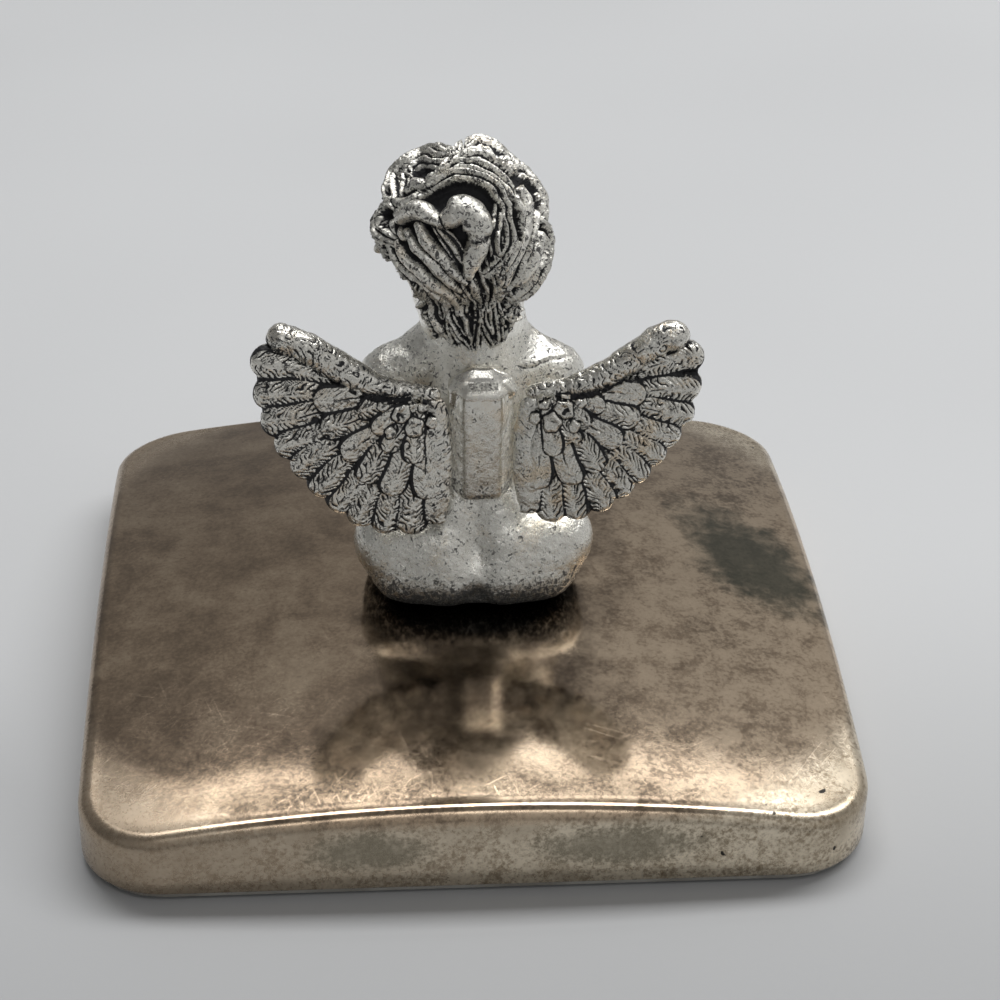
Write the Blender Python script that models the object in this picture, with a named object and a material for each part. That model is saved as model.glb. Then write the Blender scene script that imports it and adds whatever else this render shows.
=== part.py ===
# Silver-plated keepsake box: a shallow lined tray under a domed lift-off lid,
# with a seated winged cherub screwed to the lid.
# Metres, +Z up. The origin is on the table under the box's centre, and the cherub faces +Y.

import math

import bmesh
import bpy
from mathutils import Matrix, Vector

# Lid shell
box_width = 0.088
box_depth = 0.088
corner_radius = 0.0096
lid_height = 0.0141
dome_radius = 0.232
lid_sheet = 0.0009
rim_round = 0.0019
skirt_lip = 0.0003

# Base tray, which nests in the skirt
seam_gap = 0.0003
nest_clearance = 0.0004
flange_lift = 0.0003
flange_thickness = 0.0006
flange_inset = 0.0008
tray_sheet = 0.0006
wall_room = 0.0005

# Felt and velvet
felt_thickness = 0.0005
felt_inset = 0.0034
velvet_thickness = 0.0006
band_thickness = 0.0005
band_shortfall = 0.0003
lining_thickness = 0.0007
lining_margin = 0.0052

# Screws that hold the cherub
screw_spacing = 0.0130
screw_setback = 0.0025
screw_radius = 0.00125
screw_reach = 0.0068
screw_head_radius = 0.0022
screw_head_height = 0.0015
screw_head_round = 0.0004
screw_slot_width = 0.0006
screw_slot_depth = 0.0007
washer_radius = 0.0029
washer_thickness = 0.0005
hole_clearance = 0.0003

# Cherub, in its own frame from where its seat meets the dome. Its height sets all its other sizes.
cherub_height = 0.054
cherub_x = 0.0012
cherub_y = 0.0
seat_width = 0.5333 * cherub_height
torso_depth = 0.25 * cherub_height
shoulder_rise = 0.5463 * cherub_height
neck_rise = 0.5556 * cherub_height
casting_voxel = 0.0102 * cherub_height
wing_voxel = 0.0078 * cherub_height

# Head
head_width = 0.3426 * cherub_height
head_depth = 0.3704 * cherub_height
head_rise = neck_rise + 0.2333 * cherub_height
head_height = 0.4185 * cherub_height
head_lean = 0.0204 * cherub_height
head_taper_share = 0.22
hair_thickness = 0.0222 * cherub_height
hair_lock_radius = 0.0481 * cherub_height

# Wings and the saddle between them
saddle_x = 0.013 * cherub_height
saddle_width = 0.1296 * cherub_height
saddle_height = 0.3074 * cherub_height
saddle_rise = 0.2537 * cherub_height
saddle_front = 0.0963 * cherub_height
saddle_back = 0.1704 * cherub_height
saddle_round = 0.0167 * cherub_height
wing_root_rise = 0.5204 * cherub_height
wing_root_back = 0.1556 * cherub_height
wing_root_out = 0.0833 * cherub_height
left_wing_span = 0.3407 * cherub_height
right_wing_span = 0.3167 * cherub_height
wing_thickness = 0.0389 * cherub_height
wing_edge_radius = 0.0287 * cherub_height
wing_sweep_angle = math.radians(12)
wing_tilt_angle = math.radians(9)

# How finely round shapes are divided
corner_steps = 5
side_steps = 6
turned_steps = 20
ball_detail = 3

# How far a cutter runs past what it cuts
overrun = 0.002

# Levels that follow from the sizes above
skirt_foot = flange_lift + flange_thickness + seam_gap
dome_top = skirt_foot + lid_height
tray_floor = felt_thickness + seam_gap
pad_foot = tray_floor + tray_sheet + seam_gap
pad_top = pad_foot + velvet_thickness
inner_dome_top = dome_top - lid_sheet
lining_top = inner_dome_top - seam_gap


def dome_drop(x, y):
    """How far the dome has fallen below its top at (x, y)."""
    return dome_radius - math.sqrt(dome_radius ** 2 - x ** 2 - y ** 2)


# The tray's wall stops below the dome, which is lowest over the wall's round corners
wall_inset = lid_sheet + nest_clearance
wall_corner = wall_inset + (1 - math.cos(math.radians(45))) * (corner_radius - wall_inset)
wall_drop = dome_drop(box_width / 2 - wall_corner, box_depth / 2 - wall_corner)
tray_wall_top = inner_dome_top - wall_drop - wall_room

# The washers lie flat, just clear of the dome at their outer edges
washer_edge = cherub_x + screw_spacing / 2 + washer_radius
washer_top = inner_dome_top - dome_drop(washer_edge, screw_setback) - seam_gap
head_top = washer_top - washer_thickness - seam_gap


def clear_scene():
    for obj in list(bpy.data.objects):
        bpy.data.objects.remove(obj, do_unlink=True)


def metal(name, colour, roughness):
    return finish(name, colour, roughness, 1.0)


def cloth(name, colour):
    return finish(name, colour, 0.95, 0.0)


def finish(name, colour, roughness, metallic):
    material = bpy.data.materials.new(name)
    material.use_nodes = True
    shader = material.node_tree.nodes["Principled BSDF"]
    shader.inputs["Base Color"].default_value = (*colour, 1.0)
    shader.inputs["Roughness"].default_value = roughness
    shader.inputs["Metallic"].default_value = metallic
    material.diffuse_color = (*colour, 1.0)
    return material


def add_object(name, bm, material, parent=None):
    """A new object from bm, with its faces pointing out."""
    bmesh.ops.recalc_face_normals(bm, faces=bm.faces)
    mesh = bpy.data.meshes.new(name)
    bm.to_mesh(mesh)
    bm.free()
    if material:
        mesh.materials.append(material)
    mesh.shade_smooth()
    mesh.set_sharp_from_angle(angle=math.radians(35))
    obj = bpy.data.objects.new(name, mesh)
    obj.parent = parent
    bpy.context.scene.collection.objects.link(obj)
    return obj


def cut(obj, cutter):
    cutter.hide_render = True
    cutter.display_type = "WIRE"
    boolean = obj.modifiers.new("Cut " + cutter.name, "BOOLEAN")
    boolean.operation = "DIFFERENCE"
    boolean.solver = "EXACT"
    boolean.object = cutter


def rounded_outline(inset):
    """The box's outline seen from above, moved in from the skirt's outer face."""
    half_x = box_width / 2 - inset
    half_y = box_depth / 2 - inset
    radius = max(corner_radius - inset, corner_radius / 3)
    points = []
    for quarter in range(4):
        turn = math.pi / 2 * quarter
        sign_x = 1 if quarter in (0, 3) else -1
        sign_y = 1 if quarter in (0, 1) else -1
        centre = Vector((sign_x * (half_x - radius), sign_y * (half_y - radius)))
        for step in range(corner_steps + 1):
            angle = turn + math.pi / 2 * step / corner_steps
            arm = Vector((math.cos(angle), math.sin(angle)))
            points.append(centre + arm * radius)
        start = points[-1].copy()
        straight = 2 * (half_x - radius) if quarter % 2 == 0 else 2 * (half_y - radius)
        along = Vector((-math.sin(turn + math.pi / 2), math.cos(turn + math.pi / 2)))
        for step in range(1, side_steps):
            points.append(start + along * straight * step / side_steps)
    return points


def flat_ring(inset, height):
    return [(p.x, p.y, height) for p in rounded_outline(inset)]


def domed_ring(inset, top, share=1.0, below=0.0):
    """A ring on the dome whose highest point is top, shrunk to a share of its outline."""
    ring = []
    for p in rounded_outline(inset):
        x, y = p.x * share, p.y * share
        ring.append((x, y, top - dome_drop(x, y) - below))
    return ring


def join_rings(bm, rings, closed=False):
    """Walls between neighbouring rings, and the first and last loops of vertices."""
    loops = [[bm.verts.new(point) for point in ring] for ring in rings]
    pairs = list(zip(loops, loops[1:]))
    if closed:
        pairs.append((loops[-1], loops[0]))
    for near, far in pairs:
        for i in range(len(near)):
            j = (i + 1) % len(near)
            bm.faces.new((near[i], far[i], far[j], near[j]))
    return loops[0], loops[-1]


def close_ring(bm, loop, height):
    """A fan of faces from the loop to a point over the origin."""
    centre = bm.verts.new((0, 0, height))
    for i in range(len(loop)):
        bm.faces.new((loop[i], loop[(i + 1) % len(loop)], centre))


def shell(name, rings, first_height, last_height, material):
    bm = bmesh.new()
    first, last = join_rings(bm, rings)
    close_ring(bm, first, first_height)
    close_ring(bm, last, last_height)
    return add_object(name, bm, material)


def turned_ring(radius, height, centre):
    ring = []
    for step in range(turned_steps):
        angle = 2 * math.pi * step / turned_steps
        across, along = radius * math.cos(angle), radius * math.sin(angle)
        ring.append((centre[0] + across, centre[1] + along, height))
    return ring


def turned(bm, profile, centre):
    """A solid turned round a vertical line through centre, from (radius, height) points."""
    rings = [turned_ring(radius, height, centre) for radius, height in profile[1:-1]]
    first, last = join_rings(bm, rings)
    for loop, (_, height) in ((first, profile[0]), (last, profile[-1])):
        middle = bm.verts.new((centre[0], centre[1], height))
        for i in range(len(loop)):
            bm.faces.new((loop[i], loop[(i + 1) % len(loop)], middle))


def screw_places():
    return [(cherub_x + side * screw_spacing / 2, cherub_y - screw_setback) for side in (-1, 1)]


def column_cutters(name, radius, foot, top):
    """One object with a round column at each screw."""
    bm = bmesh.new()
    for place in screw_places():
        turned(bm, ((0, foot), (radius, foot), (radius, top), (0, top)), place)
    return add_object(name, bm, None)


def make_lid_shell(material):
    dome_shares = (0.16, 0.34, 0.52, 0.70, 0.86)
    rings = [domed_ring(rim_round, dome_top, share) for share in dome_shares]
    edge = domed_ring(rim_round, dome_top)
    rings.append(edge)
    round_steps = 5
    for step in range(1, round_steps + 1):
        angle = math.pi / 2 * step / round_steps
        outline = rounded_outline(rim_round * (1 - math.sin(angle)))
        fall = rim_round * (1 - math.cos(angle))
        rings.append([(p.x, p.y, e[2] - fall) for p, e in zip(outline, edge)])
    rings.append(flat_ring(0, skirt_foot + skirt_lip))
    rings.append(flat_ring(skirt_lip, skirt_foot))
    rings.append(flat_ring(lid_sheet, skirt_foot))
    rings.append(domed_ring(lid_sheet, inner_dome_top))
    rings += [domed_ring(lid_sheet, inner_dome_top, share) for share in reversed(dome_shares)]
    lid = shell("lid_shell", rings, dome_top, inner_dome_top, material)
    holes = column_cutters("cut_lid_holes", screw_radius + hole_clearance, head_top, dome_top + overrun)
    cut(lid, holes)
    return lid


def make_lid_lining(material):
    lining_shares = (0.3, 0.6, 1.0)
    rings = [domed_ring(lining_margin, lining_top, share) for share in lining_shares]
    rings += [
        domed_ring(lining_margin, lining_top, share, lining_thickness)
        for share in reversed(lining_shares)
    ]
    lining = shell("lid_lining", rings, lining_top, lining_top - lining_thickness, material)
    room = column_cutters(
        "cut_lining_holes",
        washer_radius + hole_clearance,
        lining_top - lining_thickness - overrun,
        lining_top + overrun,
    )
    cut(lining, room)
    return lining


def make_base_tray(material):
    wall_in = wall_inset + tray_sheet
    recess = felt_inset - seam_gap
    flange_top = flange_lift + flange_thickness
    rings = [
        flat_ring(recess, tray_floor),
        flat_ring(recess - seam_gap, flange_lift),
        flat_ring(flange_inset, flange_lift),
        flat_ring(flange_inset, flange_top),
        flat_ring(wall_inset, flange_top),
        flat_ring(wall_inset, tray_wall_top),
        flat_ring(wall_in, tray_wall_top),
        flat_ring(wall_in, tray_floor + tray_sheet),
    ]
    return shell("base_tray", rings, tray_floor, tray_floor + tray_sheet, material)


def make_tray_wall_lining(material):
    outer = wall_inset + tray_sheet + seam_gap
    inner = outer + band_thickness
    top = tray_wall_top - band_shortfall
    bm = bmesh.new()
    corners = ((outer, pad_foot), (outer, top), (inner, top), (inner, pad_foot))
    join_rings(bm, [flat_ring(inset, height) for inset, height in corners], closed=True)
    return add_object("tray_wall_lining", bm, material)


def make_tray_floor_pad(material):
    edge = wall_inset + tray_sheet + seam_gap + band_thickness + seam_gap
    crown = velvet_thickness / 3
    rings = [
        flat_ring(edge, pad_foot),
        flat_ring(edge, pad_top - crown),
        flat_ring(edge + crown, pad_top),
    ]
    return shell("tray_floor_pad", rings, pad_foot, pad_top, material)


def make_felt_foot(material):
    rings = [flat_ring(felt_inset, felt_thickness), flat_ring(felt_inset, 0)]
    return shell("felt_foot", rings, felt_thickness, 0, material)


def make_figure_screw(name, place, material):
    head_foot = head_top - screw_head_height
    profile = (
        (0, head_foot),
        (screw_head_radius - screw_head_round, head_foot),
        (screw_head_radius, head_foot + screw_head_round),
        (screw_head_radius, head_top),
        (screw_radius, head_top),
        (screw_radius, dome_top + screw_reach),
        (0, dome_top + screw_reach),
    )
    bm = bmesh.new()
    turned(bm, profile, place)
    screw = add_object(name, bm, material)
    slot = bmesh.new()
    middle = Matrix.Translation((*place, head_foot))
    size = (2 * (screw_head_radius + overrun), screw_slot_width, 2 * screw_slot_depth)
    bmesh.ops.create_cube(slot, size=1, matrix=middle @ Matrix.Diagonal((*size, 1)))
    cut(screw, add_object("cut_slot_" + name, slot, None))
    return screw


def make_figure_washer(name, place, material):
    foot = washer_top - washer_thickness
    bore = screw_radius + hole_clearance
    corners = ((bore, foot), (washer_radius, foot), (washer_radius, washer_top), (bore, washer_top))
    bm = bmesh.new()
    join_rings(bm, [turned_ring(radius, height, place) for radius, height in corners], closed=True)
    return add_object(name, bm, material)


def add_hull(bm, balls, squash=1.0):
    """The smallest convex solid round some (centre, radius) balls. squash flattens it along Y."""
    points = bmesh.new()
    for centre, radius in balls:
        place = Matrix.Translation((centre[0], centre[1], centre[2]))
        size = Matrix.Diagonal((1, squash, 1, 1))
        bmesh.ops.create_icosphere(points, subdivisions=ball_detail, radius=radius, matrix=place @ size)
    bmesh.ops.delete(points, geom=points.faces[:], context="FACES_ONLY")
    bmesh.ops.delete(points, geom=points.edges[:], context="EDGES_FACES")
    made = bmesh.ops.convex_hull(points, input=points.verts, use_existing_faces=False)
    spare = made["geom_interior"] + made["geom_unused"]
    spare = [item for item in spare if isinstance(item, bmesh.types.BMVert)]
    bmesh.ops.delete(points, geom=list(set(spare)), context="VERTS")
    bmesh.ops.recalc_face_normals(points, faces=points.faces)
    piece = bpy.data.meshes.new("hull")
    points.to_mesh(piece)
    points.free()
    bm.from_mesh(piece)
    bpy.data.meshes.remove(piece)


def cast(obj, voxel, smoothing, kept_share):
    """Melts the overlapping hulls of obj into one skin, softens it and thins its faces."""
    melt = obj.modifiers.new("Melt together", "REMESH")
    melt.mode = "VOXEL"
    melt.voxel_size = voxel
    soften = obj.modifiers.new("Soften", "SMOOTH")
    soften.factor = 0.5
    soften.iterations = smoothing
    thin = obj.modifiers.new("Thin out faces", "DECIMATE")
    thin.ratio = kept_share


def body_ball(row, side=1):
    """A ball of the body from its row of shares, with its place across mirrored for the left side."""
    across, forward, up, radius = row
    centre = (side * across * seat_width, forward * torso_depth, up * shoulder_rise)
    return centre, radius * seat_width


def make_cherub_body(material, stand):
    # Rows are shares of seat_width, torso_depth, shoulder_rise and, for the radius, seat_width.
    rump_shares = ((0.276, -0.49, 0.198, 0.219), (0.125, -0.52, 0.190, 0.208), (0.222, 0.20, 0.200, 0.208))
    torso_shares = ((0.170, -0.05, 0.45, 0.205), (0.205, 0.00, 0.69, 0.215), (0.300, 0.02, 0.862, 0.138))
    belly_shares = ((0.0, 0.20, 0.40, 0.25), (0.0, 0.12, 0.62, 0.24))
    neck_shares = ((0.02, 0.00, 0.88, 0.225), (0.03, 0.08, 1.08, 0.172))
    slope_shares = ((0.230, 0.02, 0.875, 0.150), (0.06, 0.03, 0.97, 0.18))
    thigh_shares = ((0.270, -0.05, 0.23, 0.20), (0.262, 0.88, 0.40, 0.150))
    shin_shares = ((0.262, 0.88, 0.40, 0.140), (0.190, 1.12, 0.12, 0.092))
    foot_shares = ((0.188, 1.08, 0.060, 0.085), (0.205, 1.48, 0.036, 0.072))
    upper_arm_shares = ((0.345, 0.05, 0.86, 0.112), (0.392, 0.52, 0.62, 0.100))
    forearm_shares = ((0.392, 0.52, 0.62, 0.098), (0.080, 1.06, 0.60, 0.070))
    hand_shares = ((0.080, 1.06, 0.60, 0.074), (-0.060, 1.12, 0.61, 0.066))
    bm = bmesh.new()
    add_hull(bm, [body_ball(row, side) for row in torso_shares for side in (-1, 1)])
    add_hull(bm, [body_ball(row) for row in belly_shares])
    add_hull(bm, [body_ball(row) for row in neck_shares])
    paired = (
        rump_shares, slope_shares, thigh_shares, shin_shares, foot_shares,
        upper_arm_shares, forearm_shares, hand_shares,
    )
    for group in paired:
        for side in (-1, 1):
            add_hull(bm, [body_ball(row, side) for row in group])
    body = add_object("cherub_body", bm, material, stand)
    cast(body, casting_voxel, 5, 0.125)
    cut(body, dome_cutter())
    bore_top = dome_top + screw_reach + seam_gap
    cut(body, column_cutters("cut_seat_bores", screw_radius + hole_clearance, inner_dome_top, bore_top))
    cut(body, neck_cutter("cut_neck_top", neck_rise, head_height, stand))
    pocket = bmesh.new()
    add_hull(pocket, saddle_balls(saddle_round + seam_gap))
    cut(body, add_object("cut_saddle_pocket", pocket, None, stand))
    return body


def dome_cutter():
    """What lies under the cherub: the dome, raised by the gap, out past the cherub's feet."""
    reach_shares = (0.1, 0.3, 0.5, 0.7)
    rings = [domed_ring(0, dome_top + seam_gap, share) for share in reach_shares]
    rings.append([(x, y, skirt_foot) for x, y, _ in rings[-1]])
    return shell("cut_dome", rings, dome_top + seam_gap, skirt_foot, None)


def neck_cutter(name, foot, height, stand):
    """A block from the level of the neck joint up or down."""
    bm = bmesh.new()
    middle = Matrix.Translation((0, 0, foot + height / 2))
    size = Matrix.Diagonal((2 * seat_width, 2 * seat_width, abs(height), 1))
    bmesh.ops.create_cube(bm, size=1, matrix=middle @ size)
    return add_object(name, bm, None, stand)


def head_point(row):
    """A point of the head from shares of its half width, depth and height, leaning left as it rises."""
    across, forward, up = row
    narrowing = 1 + head_taper_share * min(up, 0)
    return (
        across * narrowing * head_width / 2 - head_lean * (1 + up),
        forward * head_depth / 2 + seam_gap,
        head_rise + up * head_height / 2,
    )


def head_ball(row):
    return head_point(row[:3]), row[3] * head_width


def make_cherub_head(material, stand):
    # Rows are shares of the head's half width, depth and height, then a radius as a share of its width.
    cranium_shares = ((0.0, 0.0, 0.14, 0.485), (0.0, 0.22, -0.16, 0.425))
    jaw_shares = ((0.30, 0.52, -0.40, 0.235), (0.06, 0.62, -0.70, 0.135), (0.16, 0.15, -0.62, 0.26))
    cheek_shares = ((0.42, 0.66, -0.36, 0.185),)
    brow_shares = ((0.34, 0.52, 0.16, 0.22), (0.0, 0.60, 0.22, 0.22))
    nose_shares = ((0.0, 0.94, 0.02, 0.050), (0.0, 1.05, -0.22, 0.066))
    lip_shares = ((0.09, 0.90, -0.43, 0.050), (0.0, 0.94, -0.42, 0.055))
    lid_shares = ((0.34, 0.79, -0.03, 0.082),)
    nape_share = (0.0, 0.04, -0.62, 0.30)
    neck_share = (0.03, 0.09, 1.0, 0.172)
    bm = bmesh.new()
    for group in (cranium_shares, nose_shares):
        add_hull(bm, [head_ball(row) for row in group])
    neck_place, neck_radius = body_ball(neck_share)
    add_hull(bm, [head_ball(nape_share), ((neck_place[0], neck_place[1], neck_rise), neck_radius)])
    for group in (jaw_shares, cheek_shares, brow_shares, lip_shares, lid_shares):
        for side in (-1, 1):
            add_hull(bm, [head_ball((side * row[0], *row[1:])) for row in group])
    for lock in hair_locks():
        add_hull(bm, lock)
    head = add_object("cherub_head", bm, material, stand)
    cast(head, casting_voxel, 3, 0.15)
    cut(head, neck_cutter("cut_head_foot", neck_rise + seam_gap, -head_height, stand))
    return head


def hair_locks():
    """Short locks in rings round the skull, each sliding down and round from its root, none over the face."""
    # Each row: height round the skull in degrees, locks in the ring, half the face's opening in degrees,
    # and the locks' thickness as a share of hair_lock_radius.
    ring_shares = (
        (74, 4, 0, 1.0), (46, 8, 0, 1.0), (22, 9, 58, 1.0),
        (-8, 9, 70, 0.84), (-34, 8, 82, 0.68), (-54, 5, 108, 0.68),
    )
    slide = 20
    locks = []
    for index, (height, count, opening, size_share) in enumerate(ring_shares):
        for number in range(count):
            spread = 360 - 2 * opening
            around = 90 + opening + spread * (number + 0.5) / count
            lock = []
            for step, thickness_share in enumerate((1.0, 0.92, 0.66)):
                up = math.radians(height - slide * step * 0.7)
                turn = math.radians(around + (slide if index % 2 else -slide) * step * 0.5)
                row = (math.cos(up) * math.cos(turn), math.cos(up) * math.sin(turn), math.sin(up))
                radius = hair_lock_radius * size_share * thickness_share
                lift = Vector(row) * (hair_thickness * size_share - radius)
                lock.append((Vector(head_point(row)) + lift, radius))
            locks.append(lock)
    return locks


def saddle_balls(rounding):
    """The corners of the saddle, narrower at its foot and leaning in at its top, as balls of one rounding."""
    inset = saddle_round
    half_top = saddle_width / 2 - inset
    half_foot = half_top * 0.86
    foot = saddle_rise + inset
    top = saddle_rise + saddle_height - inset
    lean = saddle_round
    corners = []
    for side in (-1, 1):
        corners.append((saddle_x + side * half_foot, -saddle_front - inset, foot))
        corners.append((saddle_x + side * half_foot, -saddle_back + inset, foot))
        corners.append((saddle_x + side * half_top, -saddle_front - inset, top))
        corners.append((saddle_x + side * half_top, -saddle_back + inset + lean, top))
    return [(corner, rounding) for corner in corners]


def make_wing_saddle(material, stand):
    bm = bmesh.new()
    add_hull(bm, saddle_balls(saddle_round))
    return add_object("wing_saddle", bm, material, stand)


def wing_feathers(span):
    """Flat blades of one wing as (balls, flatness), outward along X, up along Z, and seen from -Y."""
    # Rings of feathers: first and last angle in degrees above the outward line, where a blade starts and
    # its half width as shares of the span, how far back it stands and how thick it is as shares of
    # wing_thickness, then how far each tip reaches as a share of the span.
    feather_shares = (
        (18, -97, 0.30, 0.108, 0.00, 0.46, (1.08, 1.03, 0.97, 0.94, 0.93, 0.93, 0.94, 0.94, 0.93, 0.89)),
        (8, -92, 0.20, 0.100, 0.26, 0.42, (0.68, 0.65, 0.62, 0.62, 0.64, 0.66, 0.64)),
        (-2, -88, 0.06, 0.085, 0.50, 0.40, (0.38, 0.36, 0.36, 0.38, 0.36)),
    )
    blades = []
    for first, last, root, half, stand_back, thick, reach_shares in feather_shares:
        middle = Vector((0.16 * span, -wing_thickness * stand_back, 0))
        tip_radius = span * half
        for number, reach_share in enumerate(reach_shares):
            angle = math.radians(first + (last - first) * number / (len(reach_shares) - 1))
            outward = Vector((math.cos(angle), 0, math.sin(angle)))
            near = middle + outward * span * root
            far = middle + outward * (span * reach_share - tip_radius)
            balls = [(near, tip_radius * 0.55), ((near + far) / 2, tip_radius * 0.95), (far, tip_radius)]
            blades.append((balls, wing_thickness * thick / tip_radius))
    return blades


def wing_arm(span):
    """The thick leading edge, from the root up to the tip."""
    # Each row is X, Z and radius, as shares of span, span and wing_edge_radius.
    arm_shares = (
        (0.04, -0.04, 1.0), (0.25, 0.03, 1.05), (0.45, 0.11, 1.05),
        (0.65, 0.245, 1.0), (0.84, 0.40, 1.0), (0.98, 0.45, 0.95),
    )
    return [(Vector((x * span, 0, z * span)), radius * wing_edge_radius) for x, z, radius in arm_shares]


def wing_bumps(span):
    """Small round feathers at the root, as (X, Y, Z) shares of span, wing_thickness and span."""
    bump_shares = ((0.21, -0.62, -0.07), (0.29, -0.62, -0.12), (0.22, -0.62, -0.18), (0.34, -0.55, -0.03))
    return [Vector((x * span, y * wing_thickness, z * span)) for x, y, z in bump_shares]


def make_wing(name, side, span, material, stand):
    bm = bmesh.new()
    for balls, squash in wing_feathers(span):
        add_hull(bm, balls, squash)
    arm = wing_arm(span)
    for near, far in zip(arm, arm[1:]):
        add_hull(bm, [near, far])
    inner_foot = Vector((0.03 * span, 0, -0.80 * span))
    add_hull(bm, [arm[0], (inner_foot, wing_edge_radius * 0.75)])
    for bump in wing_bumps(span):
        add_hull(bm, [(bump, wing_edge_radius * 0.55)])
    turn = Matrix.Rotation(-wing_sweep_angle, 4, "Z") @ Matrix.Rotation(-wing_tilt_angle, 4, "X")
    place = Matrix.Translation((wing_root_out, -wing_root_back, wing_root_rise)) @ turn
    mirror = Matrix.Diagonal((side, 1, 1, 1))
    place = Matrix.Translation((saddle_x, 0, 0)) @ mirror @ place
    bmesh.ops.transform(bm, matrix=place, verts=bm.verts)
    wing = add_object(name, bm, material, stand)
    cast(wing, wing_voxel, 1, 0.12)
    room = bmesh.new()
    add_hull(room, saddle_balls(saddle_round + seam_gap))
    cut(wing, add_object("cut_" + name, room, None, stand))
    return wing


def main():
    clear_scene()
    tarnished = metal("tarnished silver plate", (0.42, 0.37, 0.31), 0.25)
    plain_plate = metal("plain silver plate", (0.62, 0.60, 0.56), 0.30)
    antique = metal("antiqued cast silver", (0.70, 0.69, 0.66), 0.35)
    steel = metal("zinc plated steel", (0.62, 0.62, 0.63), 0.35)
    velvet = cloth("blue velvet", (0.03, 0.05, 0.16))
    felt = cloth("black felt", (0.03, 0.03, 0.035))
    stand = bpy.data.objects.new("cherub_stand", None)
    stand.location = (cherub_x, cherub_y, dome_top)
    bpy.context.scene.collection.objects.link(stand)
    bpy.context.view_layer.update()
    make_lid_shell(tarnished)
    make_lid_lining(velvet)
    make_base_tray(plain_plate)
    make_tray_wall_lining(velvet)
    make_tray_floor_pad(velvet)
    make_felt_foot(felt)
    for side, place in zip(("left", "right"), screw_places()):
        make_figure_screw("figure_screw_" + side, place, steel)
        make_figure_washer("figure_washer_" + side, place, steel)
    make_cherub_body(antique, stand)
    make_cherub_head(antique, stand)
    make_wing_saddle(antique, stand)
    make_wing("left_wing", -1, left_wing_span, antique, stand)
    make_wing("right_wing", 1, right_wing_span, antique, stand)


main()
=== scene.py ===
import math

import bmesh
import bpy
import numpy as np
from mathutils import Matrix, Vector


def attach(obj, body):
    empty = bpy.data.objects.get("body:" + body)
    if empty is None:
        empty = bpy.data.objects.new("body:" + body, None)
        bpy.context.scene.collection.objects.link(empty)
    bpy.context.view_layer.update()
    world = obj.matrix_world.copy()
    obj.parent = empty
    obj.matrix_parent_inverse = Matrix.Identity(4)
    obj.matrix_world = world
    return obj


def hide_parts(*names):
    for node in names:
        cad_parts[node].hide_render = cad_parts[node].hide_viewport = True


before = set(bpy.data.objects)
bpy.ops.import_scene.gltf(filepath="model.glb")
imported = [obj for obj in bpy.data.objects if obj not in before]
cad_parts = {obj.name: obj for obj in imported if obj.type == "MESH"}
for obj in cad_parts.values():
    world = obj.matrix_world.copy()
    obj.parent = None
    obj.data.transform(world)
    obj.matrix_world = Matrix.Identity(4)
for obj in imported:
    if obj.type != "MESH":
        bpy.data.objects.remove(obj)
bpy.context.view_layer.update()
mm = 0.001
scene = bpy.context.scene
print("frame loaded")


# shader expressions
class Value:  # one socket; expressions on it add Math or Vector Math nodes
    def __init__(self, shade, socket):
        self.shade, self.socket = shade, socket

    def join(self, operation, other, flipped=False):
        pair = (other, self) if flipped else (self, other)
        wide = any(isWide(item) for item in pair)
        if wide:
            pair = [(item,) * 3 if isinstance(item, (int, float)) else item for item in pair]
        kind = "VectorMath" if wide else "Math"
        return self.shade.node(kind, {"operation": operation}, {0: pair[0], 1: pair[1]})

    def __add__(self, other):
        return self.join("ADD", other)

    def __radd__(self, other):
        return self.join("ADD", other, True)

    def __sub__(self, other):
        return self.join("SUBTRACT", other)

    def __rsub__(self, other):
        return self.join("SUBTRACT", other, True)

    def __mul__(self, other):
        return self.join("MULTIPLY", other)

    def __rmul__(self, other):
        return self.join("MULTIPLY", other, True)

    def __truediv__(self, other):
        return self.join("DIVIDE", other)

    def least(self, other):
        return self.join("MINIMUM", other)

    def most(self, other):
        return self.join("MAXIMUM", other)

    def rise(self, low, high, first=0.0, last=1.0):  # smooth step from first at low to last at high
        return self.shade.node(
            "MapRange",
            {"interpolation_type": "SMOOTHSTEP"},
            {"Value": self, "From Min": low, "From Max": high, "To Min": first, "To Max": last},
        )


def isWide(item):
    if isinstance(item, Value):
        return item.socket.type in ("VECTOR", "RGBA")
    return isinstance(item, (tuple, Vector))


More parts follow.
